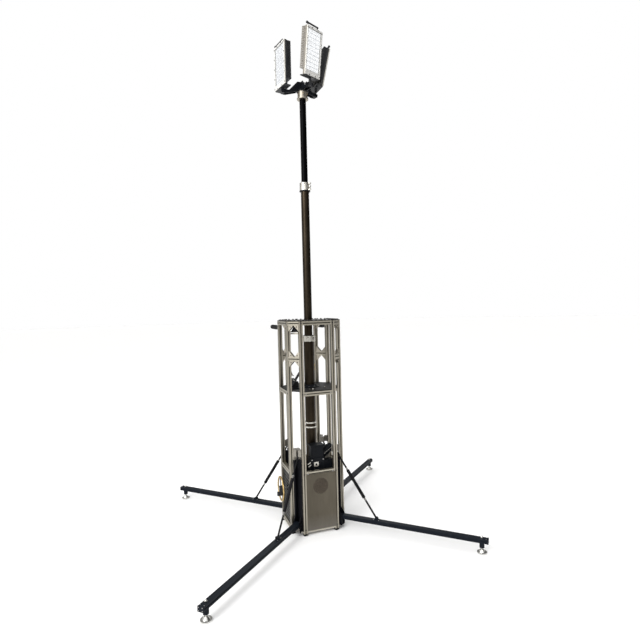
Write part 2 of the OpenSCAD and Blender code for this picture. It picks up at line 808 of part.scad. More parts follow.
// slide block between the two posts, with ears that hold the strut between two stub screws
module carriage() {
    low = strut_top_z - 16;
    high = strut_top_z + 34;
    back_r = strut_top_r - 22;
    difference() {
        union() {
            translate([chamfer_r - 8, -chamfer_y, low]) cube([12, 2 * chamfer_y, high - low]);
            translate([back_r, -16, low]) cube([chamfer_r - back_r, 32, high - low - 6]);
        }
        chamfer_posts(seat, low - 1, high + 1);
        // slot that the strut's eye swings in
        translate([back_r + 8, -9, low - 1]) cube([60, 18, high - low + 2]);
    }
    for (s = [-1, 1]) {
        translate([strut_top_r, s * 8.3, strut_top_z]) rotate([90, 0, 0]) cylinder(r = 4, h = 1.4, center = true);
    }
}

module foot_screw() {
    translate([foot_r, 0, 0]) {
        cylinder(d = pad_d, h = 8);
        translate([0, 0, 8]) cylinder(r1 = 22, r2 = 12, h = 16);
        translate([0, 0, 20]) cylinder(d = screw_d, h = leg_z + leg_t / 2 + 6 - 20);
        translate([0, 0, leg_z + leg_t / 2 + seat]) cylinder(r = 10, h = 8, $fn = 6);
        translate([0, 0, leg_z + leg_t / 2 + 8]) sphere(r = 8);
    }
}

module slide(angle) color("black") rotate(angle) carriage();
module foot(angle) color("silver") rotate(angle) foot_screw();

posts();
post_feet();
face_rails();
chamfer_bars();
gussets();
top_plate();
top_bolts();
mid_plate();
base_plate();
front_panel();
front_grille();
left_panel();
plain_panels();
leg_channels();
mast_foot();
outer_tube();
outer_clamp();
mast_guide();
drive_box();
drive_motor();
drive_flange();
battery();
power_box();
control_box();
push_handles();
winch_frame();
crank_wheel();
crank_shaft();
crank_knob();
outer_lever();
stage2_tube();
stage2_glide();
stage2_clamp();
stage2_lever();
stage3_tube();
stage3_glide();
head_sleeve();
lamp_hub();
lamp_left();
lamp_front();
lamp_right();
window_left();
window_front();
window_right();
leg(225);  // leg_front_left
leg(315);  // leg_front_right
leg(45);  // leg_back_right
leg(135);  // leg_back_left
strut(225);  // strut_front_left
strut(315);  // strut_front_right
strut(45);  // strut_back_right
strut(135);  // strut_back_left
slide(225);  // slide_front_left
slide(315);  // slide_front_right
slide(45);  // slide_back_right
slide(135);  // slide_back_left
foot(225);  // foot_front_left
foot(315);  // foot_front_right
foot(45);  // foot_back_right
foot(135);  // foot_back_left
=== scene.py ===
# %% [markdown]
# # Crank lighting stand
# The hard parts come packed, with their joints, as a fixed frame: a slotted aluminium tower, four folding
# legs, a three-stage mast and three LED floods. This lesson gives each its finish, and adds the small
# pieces that a solid model leaves out: screws, LED cells, ribs, threads and trim. It starts by loading
# the frame.

# %% Load the frame
import math

import bmesh
import bpy
from mathutils import Matrix, Vector


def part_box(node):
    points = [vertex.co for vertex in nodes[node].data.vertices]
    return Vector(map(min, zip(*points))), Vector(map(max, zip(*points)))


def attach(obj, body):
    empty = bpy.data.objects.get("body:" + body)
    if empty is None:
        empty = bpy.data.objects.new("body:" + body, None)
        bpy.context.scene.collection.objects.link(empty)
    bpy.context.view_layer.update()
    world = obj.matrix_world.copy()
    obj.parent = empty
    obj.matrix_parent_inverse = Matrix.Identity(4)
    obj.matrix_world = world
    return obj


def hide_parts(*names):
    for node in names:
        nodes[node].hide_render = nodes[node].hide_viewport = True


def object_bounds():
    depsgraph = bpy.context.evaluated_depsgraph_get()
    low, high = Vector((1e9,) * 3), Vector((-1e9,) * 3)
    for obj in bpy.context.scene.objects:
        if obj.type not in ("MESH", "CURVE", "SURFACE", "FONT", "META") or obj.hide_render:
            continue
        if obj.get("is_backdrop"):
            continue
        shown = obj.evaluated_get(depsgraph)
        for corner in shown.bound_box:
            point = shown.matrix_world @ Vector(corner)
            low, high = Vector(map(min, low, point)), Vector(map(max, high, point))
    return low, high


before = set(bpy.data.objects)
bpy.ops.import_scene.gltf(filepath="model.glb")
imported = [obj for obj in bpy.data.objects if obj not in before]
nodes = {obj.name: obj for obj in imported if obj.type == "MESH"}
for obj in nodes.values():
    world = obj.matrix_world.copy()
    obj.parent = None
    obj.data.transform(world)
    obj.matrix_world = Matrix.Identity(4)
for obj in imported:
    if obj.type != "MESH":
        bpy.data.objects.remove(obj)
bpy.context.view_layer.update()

# %% [markdown]
# ## Sizes that the pieces share
# A few sizes of the tower are needed again and again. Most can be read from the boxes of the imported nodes, so
# they follow the frame. The corner openings face 45 degrees between the wide faces.

# %% Shared sizes
_, post_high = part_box("posts")
PROFILE = 0.030
FACE = post_high.y - PROFILE / 2
CORNER = 0.125
TOP = post_high.z
OPENING = (FACE + CORNER) / math.sqrt(2)
RAILS = {"base": 0.045, "panel": 0.463, "middle": 1.063, "top": TOP - PROFILE / 2}
BRACE = 1.327
LEGS = {"front_left": 225, "front_right": 315, "back_right": 45, "back_left": 135}
Z = Vector((0, 0, 1))


def heading(angle):
    """The level direction at an angle in degrees from +X, anticlockwise."""
    return Vector((math.cos(math.radians(angle)), math.sin(math.radians(angle)), 0))


print("wide face at", round(FACE, 3), "corner opening at", round(OPENING, 3))

# %% [markdown]
# ## Shader maths as expressions
# A procedural material is a small sum: noise times something, plus something else. Wiring Math nodes by hand
# hides that sum, so `Value` wraps one socket and turns +, -, * and > into Math nodes. `Finish` owns one
# material, and its `node` method makes any other node. Object coordinates place every pattern, because they
# stay on the piece when a joint moves.

# %% Value and Finish
class Value:
    """One number that varies over a surface."""

    def __init__(self, finish, socket):
        self.finish = finish
        self.socket = socket

    def __add__(self, other):
        return self.finish.maths("ADD", self, other)

    def __sub__(self, other):
        return self.finish.maths("SUBTRACT", self, other)

    def __rsub__(self, other):
        return self.finish.maths("SUBTRACT", other, self)

    def __mul__(self, other):
        return self.finish.maths("MULTIPLY", self, other)

    def __gt__(self, other):
        return self.finish.maths("GREATER_THAN", self, other)

    __radd__ = __add__
    __rmul__ = __mul__


class Finish:
    """Builds the nodes of one material."""

    def __init__(self, name):
        self.material = bpy.data.materials.new(name)
        self.material.use_nodes = True
        self.tree = self.material.node_tree
        self.tree.nodes.clear()
        self.output = self.node("ShaderNodeOutputMaterial")
        self.place = self.node("ShaderNodeTexCoord").outputs["Object"]

    def node(self, kind, settings=None, values=None):
        made = self.tree.nodes.new(kind)
        for name, setting in (settings or {}).items():
            setattr(made, name, setting)
        for name, value in (values or {}).items():
            value = value.socket if isinstance(value, Value) else value
            if isinstance(value, bpy.types.NodeSocket):
                self.tree.links.new(value, made.inputs[name])
            else:
                made.inputs[name].default_value = value
        return made

    def maths(self, operation, *values):
        made = self.node("ShaderNodeMath", {"operation": operation}, dict(enumerate(values)))
        return Value(self, made.outputs[0])

    def noise(self, scale, stretch=(1, 1, 1), detail=3.0):
        """Soft noise from 0 to 1, finer with scale, and drawn out along the axes with a small stretch."""
        placed = self.node("ShaderNodeMapping", {}, {"Vector": self.place, "Scale": stretch})
        made = self.node(
            "ShaderNodeTexNoise", {}, {"Vector": placed.outputs[0], "Scale": scale, "Detail": detail}
        )
        return Value(self, made.outputs[0])

    def specks(self, scale):
        """Distance to the nearest of many scattered points, small on a point."""
        made = self.node("ShaderNodeTexVoronoi", {}, {"Vector": self.place, "Scale": scale})
        return Value(self, made.outputs["Distance"])

    def axis(self, letter):
        made = self.node("ShaderNodeSeparateXYZ", {}, {0: self.place})
        return Value(self, made.outputs[letter.upper()])

    def step(self, value, start, end):
        """0 before start, 1 after end, straight in between."""
        ends = {"Value": value, "From Min": start, "From Max": end}
        return Value(self, self.node("ShaderNodeMapRange", {}, ends).outputs[0])

    def between(self, mask, first, second):
        """The first colour where the mask is 0 and the second where it is 1."""
        values = {0: mask, 6: colour(first), 7: colour(second)}
        return self.node("ShaderNodeMix", {"data_type": "RGBA"}, values).outputs[2]

    def bumps(self, height, depth):
        return self.node("ShaderNodeBump", {}, {"Height": height, "Distance": depth}).outputs[0]

    def surface(self, **sockets):
        """Ends the material in a Principled shader. Underscores in the names stand for spaces."""
        named = {name.replace("_", " "): value for name, value in sockets.items()}
        made = self.node("ShaderNodeBsdfPrincipled", {}, named)
        self.tree.links.new(made.outputs[0], self.output.inputs[0])
        return self.material


def colour(value):
    """A colour for a socket: three numbers become four, and a socket stays as it is."""
    return value if isinstance(value, bpy.types.NodeSocket) else (*value[:3], 1.0)


print("shader helpers ready")

# %% [markdown]
# ## Bare and anodised metal
# Anodised profile and tube has a satin sheen: thin lines along the way it was drawn, faint blotches
# where hands have been, and a few bright scratches. One function makes all of them, so that the champagne
# profile, the bronze tubes and the silver collars differ only in colour, direction and roughness. The slots of
# the profile and the rails get painted shade: their colour is darkened.

# %% Metal finishes
ALONG_Z = (1, 1, 0.01)
EVEN = (1, 1, 1)


def near(f, value, target, half=0.0037):
    """1 close to a plane and 0 away from it."""
    return 1 - f.step(f.maths("ABSOLUTE", value - target), half, half + 0.0007)


def post_slot_shade(f):
    """Painted shade in the slots of the upright profile: they lie on the centre planes of every post."""
    mask = 0
    for letter in "xy":
        reach = f.maths("ABSOLUTE", f.axis(letter))
        for plane in (CORNER, FACE):
            mask = f.maths("MAXIMUM", mask, near(f, reach, plane))
    return mask


def rail_slot_shade(f):
    """Painted shade in the slots of the level profile, on the centre height of every rail."""
    mask = 0
    for height in (*RAILS.values(), BRACE):
        mask = f.maths("MAXIMUM", mask, near(f, f.axis("z"), height, 0.0034))
    return mask


def metal(name, base, dark, rough, drawn=EVEN, fine=700.0, scratch=0.75, metallic=1.0, slots=None):
    f = Finish(name)
    # Painted shade: inside the slots the colour is darkened to a sixth of the dark tone.
    shade = slots(f) if slots else 0.0
    lines = f.noise(fine, drawn, 2.0)
    blotch = f.noise(7.0)
    patch = f.noise(38.0)
    scratches = f.step(f.noise(260.0, (1, 0.25, 0.03), 2.0), scratch, scratch + 0.03)
    tone = f.step(blotch * 0.55 + patch * 0.2 + lines * 0.45, 0.42, 0.78)
    skin = f.between(tone, dark, base)
    pale = tuple(min(1.0, c * 1.35 + 0.04) for c in base)
    return f.surface(
        Base_Color=f.between(shade, f.between(scratches * 0.5, skin, pale), tuple(c * 0.16 for c in dark)),
        Metallic=metallic,
        Roughness=rough + (lines - 0.5) * 0.16 + (patch - 0.5) * 0.14 - scratches * 0.06,
        Normal=f.bumps(lines * 0.6 + patch * 0.4, 0.00008),
    )


finishes = {
    "profile": metal(
        "champagne_anodised_profile", (0.41, 0.38, 0.315), (0.31, 0.285, 0.235), 0.38, ALONG_Z,
        slots=post_slot_shade,
    ),
    "rail": metal(
        "champagne_anodised_rail", (0.44, 0.41, 0.34), (0.34, 0.315, 0.26), 0.36, slots=rail_slot_shade,
    ),
    "gusset": metal("tumbled_gusset_casting", (0.46, 0.425, 0.36), (0.30, 0.275, 0.23), 0.46, fine=420.0),
    "bronze": metal("bronze_anodised_tube", (0.037, 0.029, 0.020), (0.018, 0.014, 0.010), 0.36, ALONG_Z),
    "black_tube": metal("black_anodised_tube", (0.004, 0.004, 0.0045), (0.002, 0.002, 0.0022), 0.36, ALONG_Z),
    "silver": metal("clear_anodised_collar", (0.66, 0.64, 0.59), (0.44, 0.43, 0.39), 0.27, (1, 1, 3)),
    "steel": metal("brushed_steel", (0.56, 0.55, 0.53), (0.40, 0.39, 0.38), 0.32),
    "chrome": metal("bright_zinc", (0.72, 0.72, 0.70), (0.52, 0.51, 0.48), 0.20, fine=300.0),
    "dark_bolt": metal("blackened_bolt", (0.11, 0.10, 0.095), (0.05, 0.047, 0.045), 0.42),
    "brass": metal("lacquered_brass_rim", (0.66, 0.48, 0.20), (0.46, 0.32, 0.12), 0.27),
    "brass_bolt": metal("yellow_zinc_bolt", (0.70, 0.50, 0.22), (0.48, 0.33, 0.14), 0.34),
    "casting": metal("grey_casting", (0.30, 0.30, 0.29), (0.20, 0.20, 0.19), 0.52, fine=300.0),
}
print("metal finishes:", len(finishes))

# %% [markdown]
# ## Sheet panels
# The front, right and back panels are satin taupe sheet with a vertical grain. Soft, uneven reflections
# are painted into their colour as tall clouds, the roughness varies, and there is dust near the floor. The
# ribbed panel on the left is dark grey.

# %% Panel finishes
def sheet(name, base, dark, rough, metallic, band=False):
    f = Finish(name)
    grain = f.noise(520.0, (1, 1, 0.02), 2.0)
    cloud = f.noise(5.0, (1, 1, 0.55), 2.0)
    smear = f.noise(26.0, (1, 1, 0.4))
    dust = 1 - f.step(f.axis("z") + f.noise(60.0) * 0.05, 0.04, 0.17)
    # Painted reflection: the soft, tall clouds lighten and darken the colour, mixed with the real grain.
    skin = f.between(f.step(cloud * 0.7 + grain * 0.35, 0.38, 0.72), dark, base)
    dusty = tuple(c * 0.7 + 0.13 for c in base)
    worn = f.between(dust * 0.4, skin, dusty)
    if band:
        # A dark diagonal band is painted across the ribbed panel.
        diagonal_dark_band = near(f, f.axis("z") - f.axis("y") * 0.45, 0.355, 0.017)
        worn = f.between(diagonal_dark_band, worn, (0.008, 0.009, 0.010))
    return f.surface(
        Base_Color=worn,
        Metallic=metallic - dust * 0.3,
        Roughness=rough + (smear - 0.5) * 0.24 + dust * 0.18,
        Normal=f.bumps(grain, 0.00006),
    )


finishes["panel"] = sheet("taupe_satin_sheet", (0.120, 0.105, 0.080), (0.082, 0.071, 0.053), 0.42, 0.8)
finishes["base_sheet"] = sheet("mill_finish_sheet", (0.62, 0.59, 0.52), (0.46, 0.43, 0.38), 0.36, 1.0)
finishes["ribbed"] = sheet(
    "dark_ribbed_sheet", (0.050, 0.050, 0.048), (0.028, 0.028, 0.026), 0.46, 0.5, band=True
)
print("panel finishes added")

# %% [markdown]
# ## Paint, plastic and rubber
# Powder coat has an orange-peel skin about a millimetre across. It is a bump from noise, with rare pale
# chips where the tool has knocked and a little dust. Moulded plastic is the same idea with a finer,
# sharper grain, and rubber is duller and greyer where it is rubbed.

# %% Coated finishes
def coat(name, base, worn, rough, peel=900.0, depth=0.00006, chips=0.018, metallic=0.0, layer=0.0, shine=0.4):
    f = Finish(name)
    skin = f.noise(peel, EVEN, 1.0)
    cloud = f.noise(11.0)
    chip = 1 - f.step(f.specks(85.0) + f.noise(190.0) * 0.05, chips, chips + 0.012)
    rubbed = f.step(f.noise(34.0, (1, 1, 0.35)), 0.56, 0.74)
    shade = f.between(rubbed * 0.35 + cloud * 0.2, base, worn)
    bright = tuple(min(1.0, c + 0.22) for c in worn)
    return f.surface(
        Base_Color=f.between(chip * 0.55, shade, bright),
        Metallic=metallic,
        Roughness=rough + (cloud - 0.5) * 0.18 + rubbed * 0.08 + chip * 0.1,
        Normal=f.bumps(skin - chip * 0.6, depth),
        Coat_Weight=layer,
        Specular_IOR_Level=shine,
    )


finishes["leg"] = coat("blue_black_leg", (0.006, 0.008, 0.012), (0.018, 0.022, 0.030), 0.42, shine=0.08)
finishes["strut"] = coat("black_strut", (0.005, 0.005, 0.006), (0.016, 0.017, 0.018), 0.42, shine=0.08)
finishes["channel"] = coat("black_channel", (0.005, 0.005, 0.007), (0.013, 0.014, 0.017), 0.42, shine=0.08)
finishes["plate"] = coat("charcoal_plate", (0.013, 0.013, 0.013), (0.036, 0.035, 0.033), 0.5, shine=0.08)
finishes["equipment"] = coat("black_equipment", (0.005, 0.006, 0.008), (0.016, 0.018, 0.021), 0.40, shine=0.1)
finishes["grey_box"] = coat("warm_grey_box", (0.20, 0.185, 0.16), (0.30, 0.285, 0.25), 0.5)
finishes["lamp_body"] = coat("charcoal_lamp", (0.016, 0.017, 0.019), (0.040, 0.041, 0.042), 0.45, shine=0.3)
finishes["lamp_pale"] = coat("pale_lamp", (0.24, 0.22, 0.19), (0.36, 0.34, 0.30), 0.45)
finishes["bracket"] = coat("black_bracket", (0.005, 0.006, 0.008), (0.018, 0.020, 0.025), 0.36, shine=0.1)
finishes["plastic"] = coat(
    "black_plastic", (0.008, 0.008, 0.009), (0.020, 0.020, 0.021), 0.5, 1600.0, 0.00009, 0.0, shine=0.3
)
finishes["battery"] = coat(
    "grey_battery_case", (0.060, 0.061, 0.064), (0.10, 0.10, 0.10), 0.5, 1400.0, 0.00009, 0.0
)
finishes["nylon"] = coat("white_nylon", (0.68, 0.67, 0.63), (0.56, 0.55, 0.50), 0.5, 1200.0, 0.00004, 0.0)
finishes["rubber"] = coat(
    "black_rubber", (0.007, 0.007, 0.007), (0.022, 0.021, 0.020), 0.75, 700.0, 0.00012, 0.0, shine=0.25
)
finishes["bezel"] = coat("silver_bezel", (0.80, 0.79, 0.76), (0.88, 0.87, 0.85), 0.38, metallic=0.35)
print("coated finishes added, total", len(finishes))

# %% [markdown]
# ## Lit lenses and clear glass
# The floods read as white because their LED lenses are lit. An emission that is a little stronger in the
# middle of each cell keeps the grid visible. The pane in front is thin clear glass, made from a
# Principled shader with low alpha, so the cells still show in the exported model.

# %% Light and glass finishes
def lit(name, base, glow, strength):
    f = Finish(name)
    patch = f.noise(90.0)
    tint = f.between(patch, glow, tuple(c * 0.93 for c in glow))
    return f.surface(
        Base_Color=f.between(patch, base, tuple(c * 0.9 for c in base)),
        Roughness=0.35 + patch * 0.12,
        Emission_Color=tint,
        Emission_Strength=strength,
    )


def pane(name):
    f = Finish(name)
    smear = f.noise(14.0)
    return f.surface(
        Base_Color=f.between(smear, (0.90, 0.93, 0.95), (0.97, 0.98, 0.98)),
        Roughness=0.04 + smear * 0.08,
        Alpha=0.10 + smear * 0.08,
    )


finishes["led"] = lit("lit_led_lens", (0.78, 0.79, 0.80), (0.97, 0.98, 1.0), 0.36)
# Painted shade: the left flood faces the key lamp, so its lens and board are darker, weaker-glowing copies of
# the others.
finishes["led_near_key"] = lit("lit_led_lens_near_key", (0.40, 0.41, 0.43), (0.95, 0.97, 1.0), 0.20)
# The board gives no light of its own: its faint glow is painted light that lifts the lines between the cells.
finishes["board"] = lit("white_led_board", (0.22, 0.23, 0.25), (0.80, 0.82, 0.86), 0.05)
finishes["board_near_key"] = lit("white_led_board_near_key", (0.12, 0.125, 0.135), (0.80, 0.82, 0.86), 0.02)
LENS_OF = {"left": "_near_key", "front": "", "right": ""}
finishes["glass"] = pane("clear_toughened_glass")
print("finishes:", len(finishes))

# %% [markdown]
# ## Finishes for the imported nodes
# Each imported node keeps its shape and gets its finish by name. Nodes that repeat, such as the four legs,
# are matched by the start of their names.

# %% Assign finishes
FINISH_OF = {
    "posts": "profile", "post_feet": "rubber", "face_rails": "rail", "chamfer_bars": "rail",
    "gussets": "gusset", "top_plate": "plate", "top_bolts": "dark_bolt", "mid_plate": "plate",
    "base_plate": "base_sheet", "front_panel": "panel", "plain_panels": "panel", "left_panel": "ribbed",
    "leg_channels": "channel", "mast_foot": "casting", "outer_tube": "bronze", "outer_clamp": "silver",
    "mast_guide": "equipment", "drive_box": "equipment", "drive_motor": "equipment",
    "drive_flange": "silver", "battery": "battery", "power_box": "grey_box", "control_box": "plastic",
    "push_handles": "rubber", "winch_frame": "casting", "crank_wheel": "brass", "crank_shaft": "steel",
    "crank_knob": "plastic", "outer_lever": "steel", "stage2_tube": "bronze", "stage2_glide": "nylon",
    "stage2_clamp": "silver", "stage2_lever": "steel", "stage3_tube": "black_tube",
    "stage3_glide": "nylon", "head_sleeve": "gusset", "lamp_hub": "bracket", "lamp_left": "lamp_body",
    "lamp_front": "lamp_pale", "lamp_right": "lamp_body", "leg_": "leg", "strut_": "strut",
    "slide_": "grey_box", "foot_": "chrome",
}


def finish_for(node):
    if node in FINISH_OF:
        return FINISH_OF[node]
    starts = [start for start in FINISH_OF if start.endswith("_") and node.startswith(start)]
    return FINISH_OF[starts[0]] if starts else None


def dress(piece, finish):
    """Gives a mesh one material in all its slots."""
    piece.data.materials.clear()
    piece.data.materials.append(finishes[finish])


dressed = 0
for node_name, piece in nodes.items():
    if finish_for(node_name):
        dress(piece, finish_for(node_name))
        dressed += 1
print("dressed", dressed, "of", len(nodes), "nodes")

# %% [markdown]
# ## Building Geometry Nodes trees
# Screws, ribs, LED cells and vent holes repeat, so Geometry Nodes place them. `Grower` builds one tree with
# named inputs. `grow` puts the tree on a mesh of points, sets each input by its socket's identifier, and
# keeps the result as a plain mesh that rides on its body.

# %% Grower and grow
class Grower:
    """Builds one Geometry Nodes tree, with the named inputs that a piece needs."""

    def __init__(self, name):
        self.group = bpy.data.node_groups.new(name, "GeometryNodeTree")
        face = self.group.interface
        face.new_socket("Geometry", in_out="INPUT", socket_type="NodeSocketGeometry")
        face.new_socket("Geometry", in_out="OUTPUT", socket_type="NodeSocketGeometry")
        self.entry = self.group.nodes.new("NodeGroupInput")
        self.exit = self.group.nodes.new("NodeGroupOutput")

    def input(self, name, kind="Float", default=None):
        made = self.group.interface.new_socket(name, in_out="INPUT", socket_type="NodeSocket" + kind)
        if default is not None:
            made.default_value = default
        return self.entry.outputs[name]

    def node(self, kind, settings=None, values=None):
        made = self.group.nodes.new(kind)
        for name, setting in (settings or {}).items():
            setattr(made, name, setting)
        for name, value in (values or {}).items():
            if isinstance(value, bpy.types.NodeSocket):
                self.group.links.new(value, made.inputs[name])
            else:
                made.inputs[name].default_value = value
        return made

    def join(self, *parts):
        made = self.node("GeometryNodeJoinGeometry")
        for part in parts:
            self.group.links.new(part, made.inputs[0])
        return made.outputs[0]

    def finish(self, geometry, material):
        """Ends the tree: real geometry with its material."""
        real = self.node("GeometryNodeRealizeInstances", {}, {"Geometry": geometry}).outputs[0]
        painted = self.node("GeometryNodeSetMaterial", {}, {"Geometry": real, "Material": material})
        self.group.links.new(painted.outputs[0], self.exit.inputs[0])
        return self.group


def point_mesh(name, places):
    """A mesh with one vertex for each (point, facing) pair, and the facing kept as an attribute."""
    mesh = bpy.data.meshes.new(name)
    mesh.from_pydata([tuple(point) for point, _ in places], [], [])
    kept = mesh.attributes.new("facing", "FLOAT_VECTOR", "POINT")
    for item, (_, facing) in zip(kept.data, places):
        item.vector = facing
    return mesh


def grow(name, group, places, body, slot, **inputs):
    seed = bpy.data.objects.new(name + "_seed", point_mesh(name + "_points", places))
    bpy.context.scene.collection.objects.link(seed)
    modifier = seed.modifiers.new("grow", "NODES")
    modifier.node_group = group
    for item in group.interface.items_tree:
        wanted = item.name.replace(" ", "_")
        if item.in_out == "INPUT" and wanted in inputs:
            modifier[item.identifier] = inputs[wanted]
    bpy.context.view_layer.update()
    shown = seed.evaluated_get(bpy.context.evaluated_depsgraph_get())
    mesh = bpy.data.meshes.new_from_object(shown)
    mesh.name = name
    bpy.data.objects.remove(seed)
    piece = bpy.data.objects.new(name, mesh)
    bpy.context.scene.collection.objects.link(piece)
    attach(piece, body)
    print(name, len(places), "places,", len(mesh.polygons), "faces on", body)
    return piece


# %% [markdown]
# ## The screw tree
# A cap screw is a low cylinder with a domed edge and a hexagon socket. The head is a cylinder on a slightly
# wider, thinner washer, and the socket is a dark hexagon, painted shade for its hollow. One tree serves every
# screw on the object: only the radius, the height and the material change.

# %% Screws
def screw_tree():
    g = Grower("cap_screw")
    radius = g.input("Radius", default=0.005)
    height = g.input("Height", default=0.003)
    head_material = g.input("Head", "Material")
    socket_shade_material = g.input("Socket", "Material")
    facing = g.node("GeometryNodeInputNamedAttribute", {"data_type": "FLOAT_VECTOR"}, {"Name": "facing"})
    turn = g.node("FunctionNodeAlignRotationToVector", {"axis": "Z"}, {"Vector": facing.outputs[0]})
    parts = []
    for share, tall, sides in ((1.0, 1.0, 14), (0.82, 1.5, 14), (0.46, 1.56, 6)):
        wide = g.node("ShaderNodeMath", {"operation": "MULTIPLY"}, {0: radius, 1: share}).outputs[0]
        high = g.node("ShaderNodeMath", {"operation": "MULTIPLY"}, {0: height, 1: tall}).outputs[0]
        drum = g.node("GeometryNodeMeshCylinder", {}, {"Vertices": sides, "Radius": wide, "Depth": high})
        material = socket_shade_material if sides == 6 else head_material
        painted = g.node("GeometryNodeSetMaterial", {}, {"Geometry": drum.outputs[0], "Material": material})
        parts.append(painted.outputs[0])
    placed = g.node(
        "GeometryNodeInstanceOnPoints",
        {},
        {"Points": g.entry.outputs[0], "Instance": g.join(*parts), "Rotation": turn.outputs[0]},
    )
    real = g.node("GeometryNodeRealizeInstances", {}, {"Geometry": placed.outputs[0]}).outputs[0]
    g.group.links.new(real, g.exit.inputs[0])
    return g.group


SCREW = screw_tree()


# The socket takes painted shade: a dark finish, black rubber by default, stands for the shaded hollow of the
# hex socket.
def screws(name, places, body, slot, radius, height, head="dark_bolt", socket="rubber"):
    return grow(
        name, SCREW, places, body, slot,
        Radius=radius, Height=height, Head=finishes[head], Socket=finishes[socket],
    )


def post_places():
    """Centre of each post, with the direction that its wide face looks."""
    for turn in range(4):
        out = heading(90 * turn)
        side = heading(90 * turn + 90)
        for reach in (-CORNER, CORNER):
            yield out * FACE + side * reach, out


places = []
for centre, out in post_places():
    for z in RAILS.values():
        places.append((centre + out * (PROFILE / 2 + 0.0005) + Z * z, out))
screws("rail_end_screws", places, "tower", "bolt_steel", 0.0062, 0.0022)

# %% [markdown]
# ## Screws on posts, gussets and rails
# The corner bars and their triangular gussets are bolted through the slots. The posts carry a few spare
# T-slot nuts at chest height. Placing them from the same shared sizes keeps them on the profile.

# %% Corner and slot screws
places = []
for angle in LEGS.values():
    out, side = heading(angle), heading(angle + 90)
    for z, sign in ((RAILS["top"], -1), (BRACE, -1), (BRACE, 1)):
        for reach in (-1, 1):
            taken = z > BRACE and (angle, reach) in ((45, -1), (135, 1))
            if not taken:
                at = out * (OPENING + 0.0125) + side * reach * 0.0265 + Z * (z + sign * 0.026)
                places.append((at, out))
screws("gusset_screws", places, "tower", "bolt_steel", 0.0046, 0.0018)

places = []
for centre, out in post_places():
    for z in (1.118, 1.163, 1.208):
        places.append((centre + out * (PROFILE / 2 - 0.0012) + Z * z, out))
screws("slot_nut_screws", places, "tower", "bolt_steel", 0.0040, 0.0020)

places = []
for angle in (0, 90, 180, 270):
    out, side = heading(angle), heading(angle + 90)
    for z in (RAILS["base"], RAILS["panel"], RAILS["middle"]):
        for reach in (-0.098, 0.098):
            places.append((out * (FACE + PROFILE / 2 + 0.0003) + side * reach + Z * z, out))
screws("rail_slot_screws", places, "tower", "bolt_steel", 0.0044, 0.0018, "steel")

# %% [markdown]
# ## Ring tree for ribs, threads and grips
# A rubber grip, a knurled sleeve and a levelling screw are all rows of thin rings. The tree instances one
# ring on each point of a line. Each point carries the direction that its ring looks along.

# %% Rings
def ring_tree():
    g = Grower("ring_row")
    reach = g.input("Ring", default=0.010)
    thick = g.input("Thickness", default=0.001)
    material = g.input("Material", "Material")
    facing = g.node("GeometryNodeInputNamedAttribute", {"data_type": "FLOAT_VECTOR"}, {"Name": "facing"})
    turn = g.node("FunctionNodeAlignRotationToVector", {"axis": "Z"}, {"Vector": facing.outputs[0]})
    loop = g.node("GeometryNodeCurvePrimitiveCircle", {}, {"Resolution": 28, "Radius": reach})
    section = g.node("GeometryNodeCurvePrimitiveCircle", {}, {"Resolution": 6, "Radius": thick})
    swept = g.node(
        "GeometryNodeCurveToMesh", {}, {"Curve": loop.outputs[0], "Profile Curve": section.outputs[0]}
    )
    placed = g.node(
        "GeometryNodeInstanceOnPoints",
        {},
        {"Points": g.entry.outputs[0], "Instance": swept.outputs[0], "Rotation": turn.outputs[0]},
    )
    return g.finish(placed.outputs[0], material)


RING = ring_tree()


def rings(name, start, end, count, body, slot, reach, thick, finish):
    line = end - start
    facing = line.normalized()
    places = [(start + line * (k / (count - 1)), facing) for k in range(count)]
    return grow(name, RING, places, body, slot, Ring=reach, Thickness=thick, Material=finishes[finish])


grip_low, grip_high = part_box("push_handles")
grip_z = (grip_low.z + grip_high.z) / 2
for side_name, x in (("left", -FACE), ("right", FACE)):
    rings(
        "grip_ribs_" + side_name,
        Vector((x, grip_high.y - 0.140, grip_z)), Vector((x, grip_high.y - 0.012, grip_z)), 22,
        "tower", "black_plastic", 0.0173, 0.0009, "rubber",
    )

# %% [markdown]
# ## The round vent
# The vent in the front panel is perforated sheet. Cutting hundreds of holes with booleans is slow, so the
# piece is the other way round: a grid of small rings on a dark disc, which reads as a sheet with
# punched holes. It stands for the imported grille. The disc's dark colour is partly painted shade, for the
# hollows seen through the holes.

